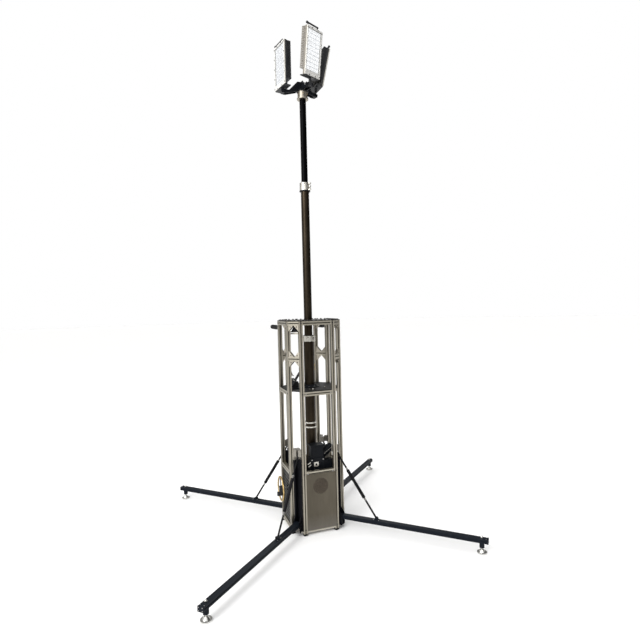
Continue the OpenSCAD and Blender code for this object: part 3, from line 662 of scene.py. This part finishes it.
# %% Vent
def vent_tree():
    g = Grower("punched_vent")
    size = g.input("Size", default=0.1)
    count = g.input("Count", "Int", 20)
    hole = g.input("Hole", default=0.002)
    material = g.input("Material", "Material")
    grid = g.node(
        "GeometryNodeMeshGrid", {}, {"Size X": size, "Size Y": size, "Vertices X": count, "Vertices Y": count}
    )
    place = g.node("GeometryNodeInputPosition").outputs[0]
    far = g.node("ShaderNodeVectorMath", {"operation": "LENGTH"}, {0: place}).outputs["Value"]
    limit = g.node("ShaderNodeMath", {"operation": "MULTIPLY"}, {0: size, 1: 0.485}).outputs[0]
    outside = g.node("ShaderNodeMath", {"operation": "GREATER_THAN"}, {0: far, 1: limit}).outputs[0]
    kept = g.node(
        "GeometryNodeDeleteGeometry", {"domain": "POINT"}, {"Geometry": grid.outputs[0], "Selection": outside}
    )
    loop = g.node("GeometryNodeCurvePrimitiveCircle", {}, {"Resolution": 8, "Radius": hole})
    section = g.node("GeometryNodeCurvePrimitiveCircle", {}, {"Resolution": 4, "Radius": 0.0007})
    swept = g.node(
        "GeometryNodeCurveToMesh", {}, {"Curve": loop.outputs[0], "Profile Curve": section.outputs[0]}
    )
    placed = g.node(
        "GeometryNodeInstanceOnPoints", {}, {"Points": kept.outputs[0], "Instance": swept.outputs[0]}
    )
    turned = g.node(
        "GeometryNodeTransform", {}, {"Geometry": placed.outputs[0], "Rotation": (math.pi / 2, 0, 0)}
    )
    moved = g.node(
        "GeometryNodeInstanceOnPoints", {}, {"Points": g.entry.outputs[0], "Instance": turned.outputs[0]}
    )
    return g.finish(moved.outputs[0], material)


finishes["vent"] = metal(
    "bronze_vent_sheet", (0.110, 0.088, 0.062), (0.070, 0.055, 0.040), 0.55, metallic=0.5
)
# Painted shade, in part: the dark disc is the vent sheet and also stands for the shade seen through its holes.
finishes["vent_back"] = coat("vent_backing", (0.048, 0.038, 0.028), (0.060, 0.049, 0.037), 0.75, chips=0.0)
vent_low, vent_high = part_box("front_grille")
COVER_FRONT = -(FACE + PROFILE / 2 + 0.0025)
VENT_BACK, VENT_THICK = 0.0012, 0.0012
vent_centre = Vector((0, COVER_FRONT - 0.0010, (vent_low.z + vent_high.z) / 2))
vent_centre.x = (vent_low.x + vent_high.x) / 2
vent_radius = (vent_high.x - vent_low.x) / 2 - 0.006


def add_mesh(name, mesh, finish, body):
    """Links a finished mesh, gives it a material, and lets it ride on a body."""
    piece = bpy.data.objects.new(name, mesh)
    bpy.context.scene.collection.objects.link(piece)
    dress(piece, finish)
    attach(piece, body)
    return piece


def turned_disc(name, rings_of_points, sides=48):
    """A closed mesh from (radius, height) pairs turned about Z, with a face on each end."""
    mesh = bpy.data.meshes.new(name)
    shape = bmesh.new()
    loops = []
    for radius, height in rings_of_points:
        loop = []
        for k in range(sides):
            angle = 2 * math.pi * k / sides
            loop.append(shape.verts.new((radius * math.cos(angle), radius * math.sin(angle), height)))
        loops.append(loop)
    for low, high in zip(loops, loops[1:]):
        for k in range(sides):
            after = (k + 1) % sides
            shape.faces.new((low[k], low[after], high[after], high[k]))
    shape.faces.new(list(reversed(loops[0])))
    shape.faces.new(loops[-1])
    bmesh.ops.recalc_face_normals(shape, faces=shape.faces)
    shape.to_mesh(mesh)
    shape.free()
    return mesh


vent_outline = [(vent_radius, 0), (vent_radius, VENT_THICK), (vent_radius - 0.0008, 0.0018)]
vent_mesh = turned_disc("vent_disc", vent_outline)
vent_place = Matrix.Translation(vent_centre + Vector((0, VENT_BACK, 0)))
vent_mesh.transform(vent_place @ Matrix.Rotation(math.pi / 2, 4, "X"))
vent_disc = add_mesh("vent_disc", vent_mesh, "vent_back", "tower")
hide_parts("front_grille")
grow(
    "vent_holes", vent_tree(), [(vent_centre - Vector((0, 0.0006, 0)), Z)], "tower", "vent_mesh",
    Size=2 * vent_radius, Count=24, Hole=0.0019, Material=finishes["vent"],
)

# %% [markdown]
# ## Rounded blocks
# Small boxes catch the light on their edges, so none is left sharp. `block` makes a bevelled box anywhere, at
# any turn, and several blocks can go into one mesh with `merge`.

# %% Blocks
def block(shape, size, centre, turn=None, bevel=0.002):
    """Adds a bevelled box to a bmesh. The turn is a rotation matrix about the box's own centre."""
    made = bmesh.ops.create_cube(shape, size=1.0)
    verts = made["verts"]
    bmesh.ops.scale(shape, vec=size, verts=verts)
    edges = {edge for vert in verts for edge in vert.link_edges}
    done = bmesh.ops.bevel(
        shape, geom=list(edges), offset=bevel, segments=2, profile=0.6, affect="EDGES", clamp_overlap=True
    )
    faces = {face for vert in done["verts"] for face in vert.link_faces}
    verts = list({vert for face in faces for vert in face.verts})
    place = Matrix.Translation(centre) @ (turn.to_4x4() if turn else Matrix.Identity(4))
    bmesh.ops.transform(shape, matrix=place, verts=verts)


def merged(name, blocks):
    mesh = bpy.data.meshes.new(name)
    shape = bmesh.new()
    for values in blocks:
        block(shape, *values)
    shape.to_mesh(mesh)
    shape.free()
    return mesh


print("block helper ready")

# %% [markdown]
# ## The front sheet
# The front sheet lies over the frame and stops a little short of its outer edges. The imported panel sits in
# the frame's slot, so this piece replaces it and stands 2.5 mm proud of the posts. The vent, made above,
# sits on it.

# %% Front sheet
COVER_SIZE = (0.234, 0.0025, 0.422)
COVER_CENTRE = Vector((0.006, COVER_FRONT + COVER_SIZE[1] / 2, 0.247))
cover_sheet = merged("front_cover", [(COVER_SIZE, COVER_CENTRE, None, 0.0008)])
front_cover = add_mesh("front_cover", cover_sheet, "panel", "tower")
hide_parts("front_panel")
print("front cover", [round(v, 4) for v in (COVER_FRONT, vent_centre.y)])

# %% [markdown]
# ## The floods
# Each flood has a silver bezel, a clear pane and a white board of LED cells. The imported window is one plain
# node, so these pieces replace it. Everything is built in the lamp's own frame, with +X out of the lens,
# and then moved to the lamp's tilt pivot with one matrix.

# %% Lamp frames
# for each lamp: direction of its arm, turn on the arm, tilt, height and reach of its pivot, bottom above it
LAMPS = {
    "left": (178, 14, 0, 3.385, 0.158, 0.027),
    "front": (278, 25, 12, 3.405, 0.130, 0.053),
    "right": (24, -16, 15, 3.405, 0.130, 0.057),
}
LAMP_WIDE, LAMP_TALL = 0.174, 0.330
LAMP_FRONT, LAMP_BACK, LAMP_SKIRT = 0.025, -0.033, 0.0155


def lamp_place(name):
    """Matrix from a lamp's own frame, origin on its tilt pivot, to the row frame."""
    arm, pan, tilt = (math.radians(angle) for angle in LAMPS[name][:3])
    pivot = heading(LAMPS[name][0]) * LAMPS[name][4] + Z * LAMPS[name][3]
    turn = Matrix.Rotation(arm, 4, "Z") @ Matrix.Rotation(tilt, 4, "Y") @ Matrix.Rotation(pan, 4, "Z")
    return Matrix.Translation(pivot) @ turn


def lamp_coat(name, fins, worn):
    """Lamp casting: fins in their own colour, a pale skirt round the lens, black foot and carrying bar."""
    f = Finish("lamp_casting_" + name)
    place = lamp_place(name)
    f.place = f.node(
        "ShaderNodeMapping",
        {"vector_type": "TEXTURE"},
        {"Vector": f.place, "Location": place.to_translation(), "Rotation": place.to_euler()},
    ).outputs[0]
    low = LAMPS[name][5]
    height = f.axis("z")
    skirt = (f.axis("x") > LAMP_SKIRT) * (height > low - 0.0004)
    black = f.maths("MAXIMUM", 1 - (height > low - 0.0003), height > low + LAMP_TALL + 0.0004)
    skin = f.noise(900.0, EVEN, 1.0)
    cloud = f.noise(14.0)
    rubbed = f.step(f.noise(48.0, (1, 1, 0.4)), 0.55, 0.75)
    body = f.between(rubbed * 0.4 + cloud * 0.2, fins, worn)
    pale = f.between(rubbed, (0.55, 0.53, 0.48), (0.68, 0.66, 0.62))
    dark = f.between(rubbed * 0.5, (0.009, 0.010, 0.012), (0.035, 0.036, 0.038))
    return f.surface(
        Base_Color=f.between(black, f.between(skirt, body, pale), dark),
        Metallic=skirt * (1 - black) * 0.5,
        Roughness=0.42 + (cloud - 0.5) * 0.2 + rubbed * 0.08,
        Normal=f.bumps(skin, 0.00006),
    )


LAMP_COATS = {
    "left": ((0.014, 0.016, 0.020), (0.038, 0.042, 0.048)),
    "front": ((0.20, 0.18, 0.15), (0.32, 0.29, 0.25)),
    "right": ((0.024, 0.024, 0.023), (0.055, 0.053, 0.050)),
}
for lamp_name, tones in LAMP_COATS.items():
    finishes["lamp_" + lamp_name] = lamp_coat(lamp_name, *tones)
    dress(nodes["lamp_" + lamp_name], "lamp_" + lamp_name)


def lamp_blocks(name, blocks, finish, body):
    mesh = merged(name, blocks)
    mesh.transform(lamp_place(body.removeprefix("lamp_")))
    return add_mesh(name, mesh, finish, body)


def bezel_blocks(low):
    rim = 0.0095
    high = low + LAMP_TALL / 2
    long = (0.0042, rim, LAMP_TALL - 0.001)
    short = (0.0042, LAMP_WIDE - 2 * rim + 0.001, rim)
    depth = LAMP_FRONT - 0.0024
    for side in (-1, 1):
        yield long, Vector((depth, side * (LAMP_WIDE - rim - 0.001) / 2, high)), None, 0.0008
    for end in (-1, 1):
        yield short, Vector((depth, 0, high + end * (LAMP_TALL - rim - 0.001) / 2)), None, 0.0008
    # the plain lower strip, where the driver sits
    yield (0.0036, LAMP_WIDE - 2 * rim, 0.024), Vector((depth - 0.0004, 0, low + 0.021)), None, 0.001


def lamp_window(name):
    body = "lamp_" + name
    low = LAMPS[name][5]
    high = low + LAMP_TALL / 2
    bezel = lamp_blocks("bezel_" + name, bezel_blocks(low), "bezel", body)
    pane_size = (0.003, LAMP_WIDE - 0.022, LAMP_TALL - 0.022)
    lamp_blocks(
        "glass_" + name, [(pane_size, Vector((LAMP_FRONT - 0.0062, 0, high)), None, 0.001)],
        "glass", body,
    )
    board_size = (0.003, LAMP_WIDE - 0.020, LAMP_TALL - 0.020)
    lamp_blocks(
        "led_board_" + name, [(board_size, Vector((LAMP_FRONT - 0.0150, 0, high)), None, 0.0005)],
        "board" + LENS_OF[name], body,
    )
    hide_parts("window_" + name)


for lamp_name in LAMPS:
    lamp_window(lamp_name)
print("windows built")

# %% [markdown]
# ## LED cells
# The board holds three columns of rectangular lens cells, each with two small domes. The rule is simple: a
# grid of points at the pitch, one cell on each. The tree takes the size of a cell, and stands a
# dome on each half of it.

# %% LED cells
CELL_COLUMNS, CELL_ROWS = 3, 10
CELL_WIDE, CELL_TALL = 0.0465, 0.0245
PITCH_ACROSS, PITCH_UP = 0.0505, 0.0280


def cell_tree():
    g = Grower("led_cells")
    wide = g.input("Wide", default=0.04)
    tall = g.input("Tall", default=0.02)
    thick = g.input("Thick", default=0.004)
    dome = g.input("Dome", default=0.006)
    material = g.input("Material", "Material")
    facing = g.node("GeometryNodeInputNamedAttribute", {"data_type": "FLOAT_VECTOR"}, {"Name": "facing"})
    turn = g.node("FunctionNodeAlignRotationToVector", {"axis": "X"}, {"Vector": facing.outputs[0]})
    size = g.node("ShaderNodeCombineXYZ", {}, {0: thick, 1: wide, 2: tall}).outputs[0]
    cell = g.node("GeometryNodeMeshCube", {}, {"Size": size}).outputs[0]
    parts = [cell]
    for share in (-0.25, 0.25):
        across = g.node("ShaderNodeMath", {"operation": "MULTIPLY"}, {0: wide, 1: share}).outputs[0]
        ball = g.node("GeometryNodeMeshUVSphere", {}, {"Segments": 12, "Rings": 6, "Radius": dome}).outputs[0]
        spot = g.node("ShaderNodeCombineXYZ", {}, {1: across}).outputs[0]
        flat = g.node(
            "GeometryNodeTransform", {}, {"Geometry": ball, "Translation": spot, "Scale": (0.7, 1.0, 1.0)}
        )
        parts.append(flat.outputs[0])
    placed = g.node(
        "GeometryNodeInstanceOnPoints",
        {},
        {"Points": g.entry.outputs[0], "Instance": g.join(*parts), "Rotation": turn.outputs[0]},
    )
    return g.finish(placed.outputs[0], material)


CELL = cell_tree()


def own_frame_grow(name, group, places, lamp_name, slot, **inputs):
    """Grows a piece in the lamp's own frame, then moves its mesh to the lamp."""
    piece = grow(name, group, places, "lamp_" + lamp_name, slot, **inputs)
    piece.data.transform(lamp_place(lamp_name))
    return piece


for lamp_name in LAMPS:
    places = []
    for row in range(CELL_ROWS):
        for column in range(CELL_COLUMNS):
            across = (column - (CELL_COLUMNS - 1) / 2) * PITCH_ACROSS
            up = LAMPS[lamp_name][5] + 0.037 + (row + 0.5) * PITCH_UP
            places.append((Vector((LAMP_FRONT - 0.0118, across, up)), Vector((1, 0, 0))))
    own_frame_grow(
        "led_cells_" + lamp_name, CELL, places, lamp_name, "lamp_window",
        Wide=CELL_WIDE, Tall=CELL_TALL, Thick=0.004, Dome=0.0075,
        Material=finishes["led" + LENS_OF[lamp_name]],
    )

# %% [markdown]
# ## Bezel screws
# The bezel is held by five screws down each long side and two across each end. They come from the screw
# tree, placed in the lamp's own frame.

# %% Bezel screws
for lamp_name in LAMPS:
    low = LAMPS[lamp_name][5]
    places = []
    for side in (-1, 1):
        for k in range(5):
            up = low + 0.014 + k * (LAMP_TALL - 0.028) / 4
            across = side * (LAMP_WIDE / 2 - 0.0052)
            places.append((Vector((LAMP_FRONT - 0.0004, across, up)), Vector((1, 0, 0))))
    for end in (0.0050, LAMP_TALL - 0.0050):
        for across in (-0.035, 0.035):
            places.append((Vector((LAMP_FRONT - 0.0004, across, low + end)), Vector((1, 0, 0))))
    made = screws("bezel_screws_" + lamp_name, places, "lamp_" + lamp_name, "bolt_steel", 0.0044, 0.0018)
    made.data.transform(lamp_place(lamp_name))

# %% [markdown]
# ## Ribs on the lamp sides
# The cooling body is ribbed on its sides as well as its back. Thin upright blocks at an even pitch make
# the ribs.

# %% Lamp side ribs
def rib_tree():
    g = Grower("cooling_ribs")
    size = g.input("Size", "Vector", (0.02, 0.002, 0.004))
    material = g.input("Material", "Material")
    rib = g.node("GeometryNodeMeshCube", {}, {"Size": size}).outputs[0]
    placed = g.node(
        "GeometryNodeInstanceOnPoints", {}, {"Points": g.entry.outputs[0], "Instance": rib}
    )
    return g.finish(placed.outputs[0], material)


RIB = rib_tree()
RIB_COUNT = 36
middle = (LAMP_BACK + LAMP_SKIRT) / 2
for lamp_name in LAMPS:
    places = []
    for side in (-1, 1):
        for k in range(RIB_COUNT):
            up = LAMPS[lamp_name][5] + 0.046 + k * (LAMP_TALL - 0.052) / (RIB_COUNT - 1)
            places.append((Vector((middle, side * (LAMP_WIDE / 2 - 0.0025), up)), Z))
    own_frame_grow(
        "side_ribs_" + lamp_name, RIB, places, lamp_name, "lamp_casting",
        Size=(LAMP_SKIRT - LAMP_BACK - 0.001, 0.0070, 0.0042),
        Material=finishes["lamp_pale" if lamp_name == "front" else "lamp_body"],
    )

# %% [markdown]
# ## Mast details
# The collars are split and squeezed by a screw. Each gets a ring of small screws, and thin dark seal rings
# where a tube enters it. The head sleeve has a bolt circle, and the arm bolts are yellow zinc.

# %% Mast screws and seals
def around(count, reach, z, first=0.0):
    """Points on a circle about the mast, facing outwards."""
    for k in range(count):
        out = heading(first + 360 * k / count)
        yield out * reach + Z * z, out


_, clamp_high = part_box("outer_clamp")
clamp_reach = 0.046
screws(
    "outer_clamp_screws", [*around(6, clamp_reach, clamp_high.z - 0.012, 8)], "tower", "bolt_steel",
    0.0036, 0.0014,
)
upper_low, upper_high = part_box("stage2_clamp")
screws(
    "upper_clamp_screws", [*around(6, 0.040, upper_high.z - 0.010, 8)], "stage2", "bolt_steel",
    0.0034, 0.0014,
)
head_low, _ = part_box("head_sleeve")
screws(
    "head_screws", [*around(6, 0.039, head_low.z + 0.038, 20)], "stage3", "bolt_steel",
    0.0040, 0.0016, "brass_bolt",
)


def seal(name, reach, z, tall, body, finish):
    """A flat ring with a rounded top edge, closed, about the mast."""
    inner = reach[0]
    outer = reach[1]
    section = [(inner, 0), (outer, 0), (outer, tall * 0.7), (outer - 0.001, tall), (inner, tall)]
    mesh = bpy.data.meshes.new(name)
    shape = bmesh.new()
    sides = 56
    loops = []
    for k in range(sides):
        angle = 2 * math.pi * k / sides
        loops.append([shape.verts.new((r * math.cos(angle), r * math.sin(angle), z + h)) for r, h in section])
    for k in range(sides):
        here, after = loops[k], loops[(k + 1) % sides]
        for j in range(len(section)):
            nxt = (j + 1) % len(section)
            shape.faces.new((here[j], after[j], after[nxt], here[nxt]))
    bmesh.ops.recalc_face_normals(shape, faces=shape.faces)
    shape.to_mesh(mesh)
    shape.free()
    return add_mesh(name, mesh, finish, body)


seal("outer_seal", (0.0326, 0.040), clamp_high.z, 0.004, "tower", "rubber")
seal("upper_seal", (0.0260, 0.034), upper_high.z, 0.004, "stage2", "rubber")
seal("upper_flange", (0.0324, 0.043), upper_low.z - 0.007, 0.007, "stage2", "equipment")
print("mast details added")

# %% [markdown]
# ## Crank wheel
# The rim of the winch wheel is brass, and its hub and spokes are black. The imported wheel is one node, so
# the finish itself tells them apart, by the distance from the shaft.

# %% Crank wheel finish
wheel_low, wheel_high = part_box("crank_wheel")
wheel_z = (wheel_low.z + wheel_high.z) / 2
wheel_reach = (wheel_high.z - wheel_low.z) / 2


def wheel_finish():
    f = Finish("brass_rim_black_spokes")
    up = f.axis("z") - wheel_z
    across = f.axis("y")
    far = f.maths("SQRT", up * up + across * across)
    rim = f.step(far, wheel_reach - 0.0135, wheel_reach - 0.0125)
    tarnish = f.noise(46.0)
    brass = f.between(f.step(tarnish, 0.4, 0.65), (0.46, 0.32, 0.13), (0.64, 0.47, 0.21))
    paint = f.between(tarnish * 0.5, (0.010, 0.011, 0.013), (0.035, 0.036, 0.038))
    return f.surface(
        Base_Color=f.between(rim, paint, brass),
        Metallic=rim * 1.0,
        Roughness=0.30 + tarnish * 0.16,
        Normal=f.bumps(f.noise(600.0), 0.00005),
    )


finishes["wheel"] = wheel_finish()
dress(nodes["crank_wheel"], "wheel")
print("wheel centre height", round(wheel_z, 3))

# %% [markdown]
# ## Lift drive and fittings
# The black drive has louvres, cover screws and a couple of bright fittings. The middle plate carries a few
# small brackets. They are bevelled blocks, grouped by finish so that each group is one piece.

# %% Drive fittings
drive_low, drive_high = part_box("drive_box")
flange_low, flange_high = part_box("drive_flange")
front = drive_low.y
places = []
for x in (drive_low.x + 0.010, drive_high.x - 0.010):
    for z in (0.432, 0.538):
        places.append((Vector((x, front - 0.0006, z)), Vector((0, -1, 0))))
screws("drive_cover_screws", places, "tower", "bolt_steel", 0.0042, 0.0020, "steel")

places = []
for x in (flange_low.x + 0.005, flange_high.x - 0.005):
    for z in (flange_low.z + 0.005, flange_high.z - 0.005):
        places.append((Vector((x, flange_low.y - 0.0004, z)), Vector((0, -1, 0))))
screws("drive_flange_screws", places, "tower", "bolt_steel", 0.0026, 0.0014)

places = [(Vector((0.036, front - 0.0012, 0.452 + 0.0085 * k)), Z) for k in range(8)]
grow(
    "drive_louvres", RIB, places, "tower", "black_coat",
    Size=(0.030, 0.0035, 0.0032), Material=finishes["equipment"],
)
motor_lean = Matrix.Rotation(math.radians(-35), 3, "Y")
add_mesh(
    "motor_trim",
    merged("motor_trim", [((0.090, 0.003, 0.0035), Vector((0.110, -0.0975, 0.590)), motor_lean, 0.001)]),
    "silver", "tower",
)

# %% [markdown]
# ## Edge bolts and small brackets
# The top plate is bolted down all round its edge. Inside the frame sit a few small plates: a black corner
# stiffener under the top bar, grey brackets beside the drive, and fittings on the middle plate.

# %% Edge bolts
places = []
for turn in range(4):
    out, side = heading(90 * turn), heading(90 * turn + 90)
    for k in range(7):
        places.append((out * (FACE + 0.002) + side * (k - 3) * 0.034 + Z * (TOP + 0.0075), Z))
for angle in LEGS.values():
    out, side = heading(angle), heading(angle + 90)
    for reach in (-0.034, 0, 0.034):
        places.append((out * (OPENING + 0.002) + side * reach + Z * (TOP + 0.0075), Z))
screws("edge_bolts", places, "tower", "bolt_steel", 0.0066, 0.0050)

guide_low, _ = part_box("mast_guide")
screws(
    "guide_bolts", [*((out + Z * 0, Z) for out, _ in around(8, 0.064, guide_low.z + 0.0075, 22))],
    "tower", "bolt_steel", 0.0048, 0.0042, "chrome",
)


# %% [markdown]
# ## Small plates
# Brackets, bars and fittings show between the posts. Each is a rounded block from `block`, and those
# with one finish share one mesh.

# %% Small plates
def turned(angle, axis="Z"):
    return Matrix.Rotation(math.radians(angle), 3, axis)


def plates(name, blocks, finish):
    return add_mesh(name, merged(name, blocks), finish, "tower")


grey_plates = [
    ((0.040, 0.003, 0.080), Vector((0.104, -0.078, 0.545)), None, 0.001),
    ((0.040, 0.020, 0.003), Vector((0.104, -0.069, 0.584)), None, 0.001),
]
plates("drive_brackets", grey_plates, "grey_box")
corner = heading(LEGS["front_left"])
shelf_blocks = [
    ((0.010, 0.098, 0.009), corner * (OPENING - 0.030) + Z * 1.515, turned(45), 0.0015),
    ((0.010, 0.098, 0.009), corner * (OPENING - 0.030) + Z * 1.529, turned(45), 0.0015),
]
plates("corner_bar", shelf_blocks, "rail")
stiffener = turned_disc("corner_stiffener", [(0.048, 0), (0.048, 0.003)], 3)
stand = Matrix.Rotation(math.radians(-90), 4, "Y")
face_out = Matrix.Rotation(math.radians(LEGS["front_left"]), 4, "Z")
stiffener.transform(Matrix.Translation(corner * (OPENING - 0.024) + Z * 1.552) @ face_out @ stand)
add_mesh("corner_stiffener", stiffener, "channel", "tower")
black_plates = [
    ((0.005, 0.050, 0.120), Vector((-0.128, -0.052, 1.158)), turned(34, "Y"), 0.0012),
    ((0.060, 0.050, 0.005), Vector((-0.132, -0.052, 1.088)), None, 0.0012),
    ((0.022, 0.016, 0.030), Vector((-0.150, 0.098, 1.350)), turned(20, "Y"), 0.003),
    ((0.018, 0.016, 0.040), Vector((-0.152, 0.098, 1.290)), None, 0.003),
    ((0.020, 0.018, 0.036), Vector((-0.166, -0.048, 1.205)), turned(-20, "Y"), 0.003),
]
plates("black_brackets", black_plates, "bracket")
pale_bits = [
    ((0.016, 0.012, 0.010), Vector((-0.152, -0.055, 1.190)), turned(20, "Y"), 0.002),
    ((0.020, 0.012, 0.008), Vector((-0.144, -0.060, 1.150)), turned(30, "Y"), 0.002),
    ((0.012, 0.008, 0.008), Vector((-0.048, -0.150, 1.088)), turned(20), 0.002),
    ((0.010, 0.008, 0.010), Vector((-0.026, -0.162, 1.089)), turned(-30), 0.002),
    ((0.014, 0.008, 0.008), Vector((0.085, -0.120, 1.088)), turned(10), 0.002),
    ((0.030, 0.006, 0.006), Vector((-0.062, -0.150, 0.500)), turned(-35, "Y"), 0.0015),
    ((0.030, 0.006, 0.006), Vector((-0.066, -0.150, 0.520)), turned(-30, "Y"), 0.0015),
    ((0.014, 0.010, 0.014), Vector((0.118, -0.120, 0.484)), turned(20, "Y"), 0.002),
]
plates("pale_fittings", pale_bits, "silver")
brass_bits = [
    ((0.014, 0.010, 0.016), Vector((0.104, 0.196, 1.196)), turned(25, "Y"), 0.002),
    ((0.010, 0.008, 0.022), Vector((0.108, 0.196, 1.226)), None, 0.002),
]
plates("brass_fittings", brass_bits, "brass_bolt")

# %% [markdown]
# ## Legs and struts
# Every leg ends in a steel pad on a levelling screw, and its strut has a threaded rod at each end. The
# rings stand for the thread, and they ride with the strut or the screw, so they fold away with it.

# %% Leg details
STRUT_FOOT = (0.538, 0.112)
STRUT_TOP = (OPENING - 0.022, 0.605)
FOOT_REACH = 1.300


def on_strut(angle, share):
    foot = heading(angle) * STRUT_FOOT[0] + Z * STRUT_FOOT[1]
    top = heading(angle) * STRUT_TOP[0] + Z * STRUT_TOP[1]
    return foot.lerp(top, share)


for leg_name, angle in LEGS.items():
    out, side = heading(angle), heading(angle + 90)
    for part, (start, end) in {"low": (0.255, 0.288), "high": (0.696, 0.729)}.items():
        rings(
            "strut_thread_" + part + "_" + leg_name, on_strut(angle, start), on_strut(angle, end), 9,
            "strut_" + leg_name, "leg_black", 0.0069, 0.0008, "steel",
        )
    for part, share in {"low": 0.305, "high": 0.679}.items():
        rings(
            "strut_collar_" + part + "_" + leg_name, on_strut(angle, share - 0.006),
            on_strut(angle, share + 0.006), 3, "strut_" + leg_name, "leg_black", 0.0122, 0.0010, "strut",
        )
    screw_foot = out * FOOT_REACH
    rings(
        "foot_thread_" + leg_name, screw_foot + Z * 0.0255, screw_foot + Z * 0.0365, 5,
        "foot_" + leg_name, "foot_steel", 0.0060, 0.0006, "steel",
    )
    places = []
    for reach in (STRUT_FOOT[0] - 0.0205, STRUT_FOOT[0] + 0.0205):
        for across in (-0.013, 0.013):
            places.append((out * reach + side * across + Z * 0.1050, Z))
    for across in (-0.0145, 0.0145):
        places.append((out * (FOOT_REACH + 0.030) + side * across + Z * 0.1024, Z))
    screws("leg_screws_" + leg_name, places, "leg_" + leg_name, "bolt_steel", 0.0034, 0.0016, "steel")
    places = []
    for across in (-0.013, 0.013):
        for z in (0.078, 0.096):
            places.append((out * 1.3451 + side * across + Z * z, out))
    screws("cap_screws_" + leg_name, places, "leg_" + leg_name, "bolt_steel", 0.0030, 0.0008, "steel")

# %% [markdown]
# ## Floor
# A plain pale floor catches the shadows. It reaches far, so that its edge meets the backdrop at the horizon.

# %% Floor
finishes["floor"] = coat("pale_floor", (0.95, 0.95, 0.95), (0.94, 0.94, 0.94), 0.95, chips=0.0, shine=0.0)
floor_mesh = turned_disc("floor", [(60.0, -0.02), (60.0, -0.0005)], 96)
floor = bpy.data.objects.new("floor", floor_mesh)
bpy.context.scene.collection.objects.link(floor)
dress(floor, "floor")
floor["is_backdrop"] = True

# %% [markdown]
# ## Lights
# The surroundings are brighter on the left than on the right, which shapes the round tubes. An area lamp
# lights the front left, a wide soft sun lifts the floor, and a weaker lamp behind draws the edges. The
# left flood faces the front left lamp, so its lens and board are painted darker and glow less than the others:
# painted shade against that lamp.

# %% Lights
world = bpy.data.worlds.new("studio")
world.use_nodes = True
bpy.context.scene.world = world


def light_room(tree, bright, dim, backdrop):
    """A pale room that is brighter on the left (-X) than on the right, in front of a plain backdrop."""
    make, link = tree.nodes.new, tree.links.new
    tree.nodes.clear()
    split = make("ShaderNodeSeparateXYZ")
    link(make("ShaderNodeTexCoord").outputs["Generated"], split.inputs[0])
    side = make("ShaderNodeMapRange")
    side.inputs["From Min"].default_value = -0.9
    side.inputs["From Max"].default_value = 0.9
    side.inputs["To Min"].default_value = bright
    side.inputs["To Max"].default_value = dim
    link(split.outputs["X"], side.inputs["Value"])
    room, plain = make("ShaderNodeBackground"), make("ShaderNodeBackground")
    plain.inputs["Color"].default_value = (backdrop, backdrop, backdrop, 1.0)
    room.inputs["Color"].default_value = (1.0, 0.99, 0.97, 1.0)
    link(side.outputs[0], room.inputs["Strength"])
    mix = make("ShaderNodeMixShader")
    link(make("ShaderNodeLightPath").outputs["Is Camera Ray"], mix.inputs[0])
    link(room.outputs[0], mix.inputs[1])
    link(plain.outputs[0], mix.inputs[2])
    link(mix.outputs[0], make("ShaderNodeOutputWorld").inputs[0])


light_room(world.node_tree, 0.60, 0.10, 1.0)


def softbox(name, place, aim, size, power):
    light = bpy.data.lights.new(name, "AREA")
    light.shape = "RECTANGLE"
    light.size, light.size_y = size
    light.energy = power
    made = bpy.data.objects.new(name, light)
    bpy.context.scene.collection.objects.link(made)
    made.location = place
    made.rotation_euler = (Vector(aim) - Vector(place)).to_track_quat("-Z", "Y").to_euler()


softbox("key", (-5.0, -3.5, 4.5), (0, 0, 1.4), (2.0, 3.0), 220)
sky = bpy.data.lights.new("ceiling", "SUN")
sky.energy = 2.52
sky.angle = 2.2
ceiling = bpy.data.objects.new("ceiling", sky)
bpy.context.scene.collection.objects.link(ceiling)
ceiling.rotation_euler = (math.radians(18), math.radians(-22), 0)
softbox("rim", (2.0, 5.0, 4.5), (0, 0, 1.5), (3.0, 2.0), 80)

# %% [markdown]
# ## Camera
# The camera stands at a person's eye height and is aimed by two directions, ahead and to the right. Its
# small shifts slide the picture without turning the camera.

# %% Camera
EYE = Vector((-1.1317, -3.6066, 1.7106))
AHEAD = Vector((0.35044, 0.93634, -0.02142)).normalized()
RIGHTWARD = Vector((0.93612, -0.35090, -0.02373)).normalized()
camera_data = bpy.data.cameras.new("camera")
camera_data.sensor_width = 36.0
camera_data.lens = 26.81
camera_data.shift_x = -0.0216
camera_data.shift_y = -0.0046
camera = bpy.data.objects.new("camera", camera_data)
bpy.context.scene.collection.objects.link(camera)
camera.matrix_world = Matrix.Translation(EYE) @ Matrix(
    (RIGHTWARD, RIGHTWARD.cross(AHEAD), -AHEAD)
).transposed().to_4x4()
bpy.context.scene.camera = camera
bpy.context.scene.view_settings.view_transform = "Standard"
print("camera at", tuple(round(v, 3) for v in EYE))

# %% [markdown]
# ## Size of the model
# The finished model should fill the same box as the imported frame. Its box is printed.

low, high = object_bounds()
print("model box", [round(v, 3) for v in high - low])
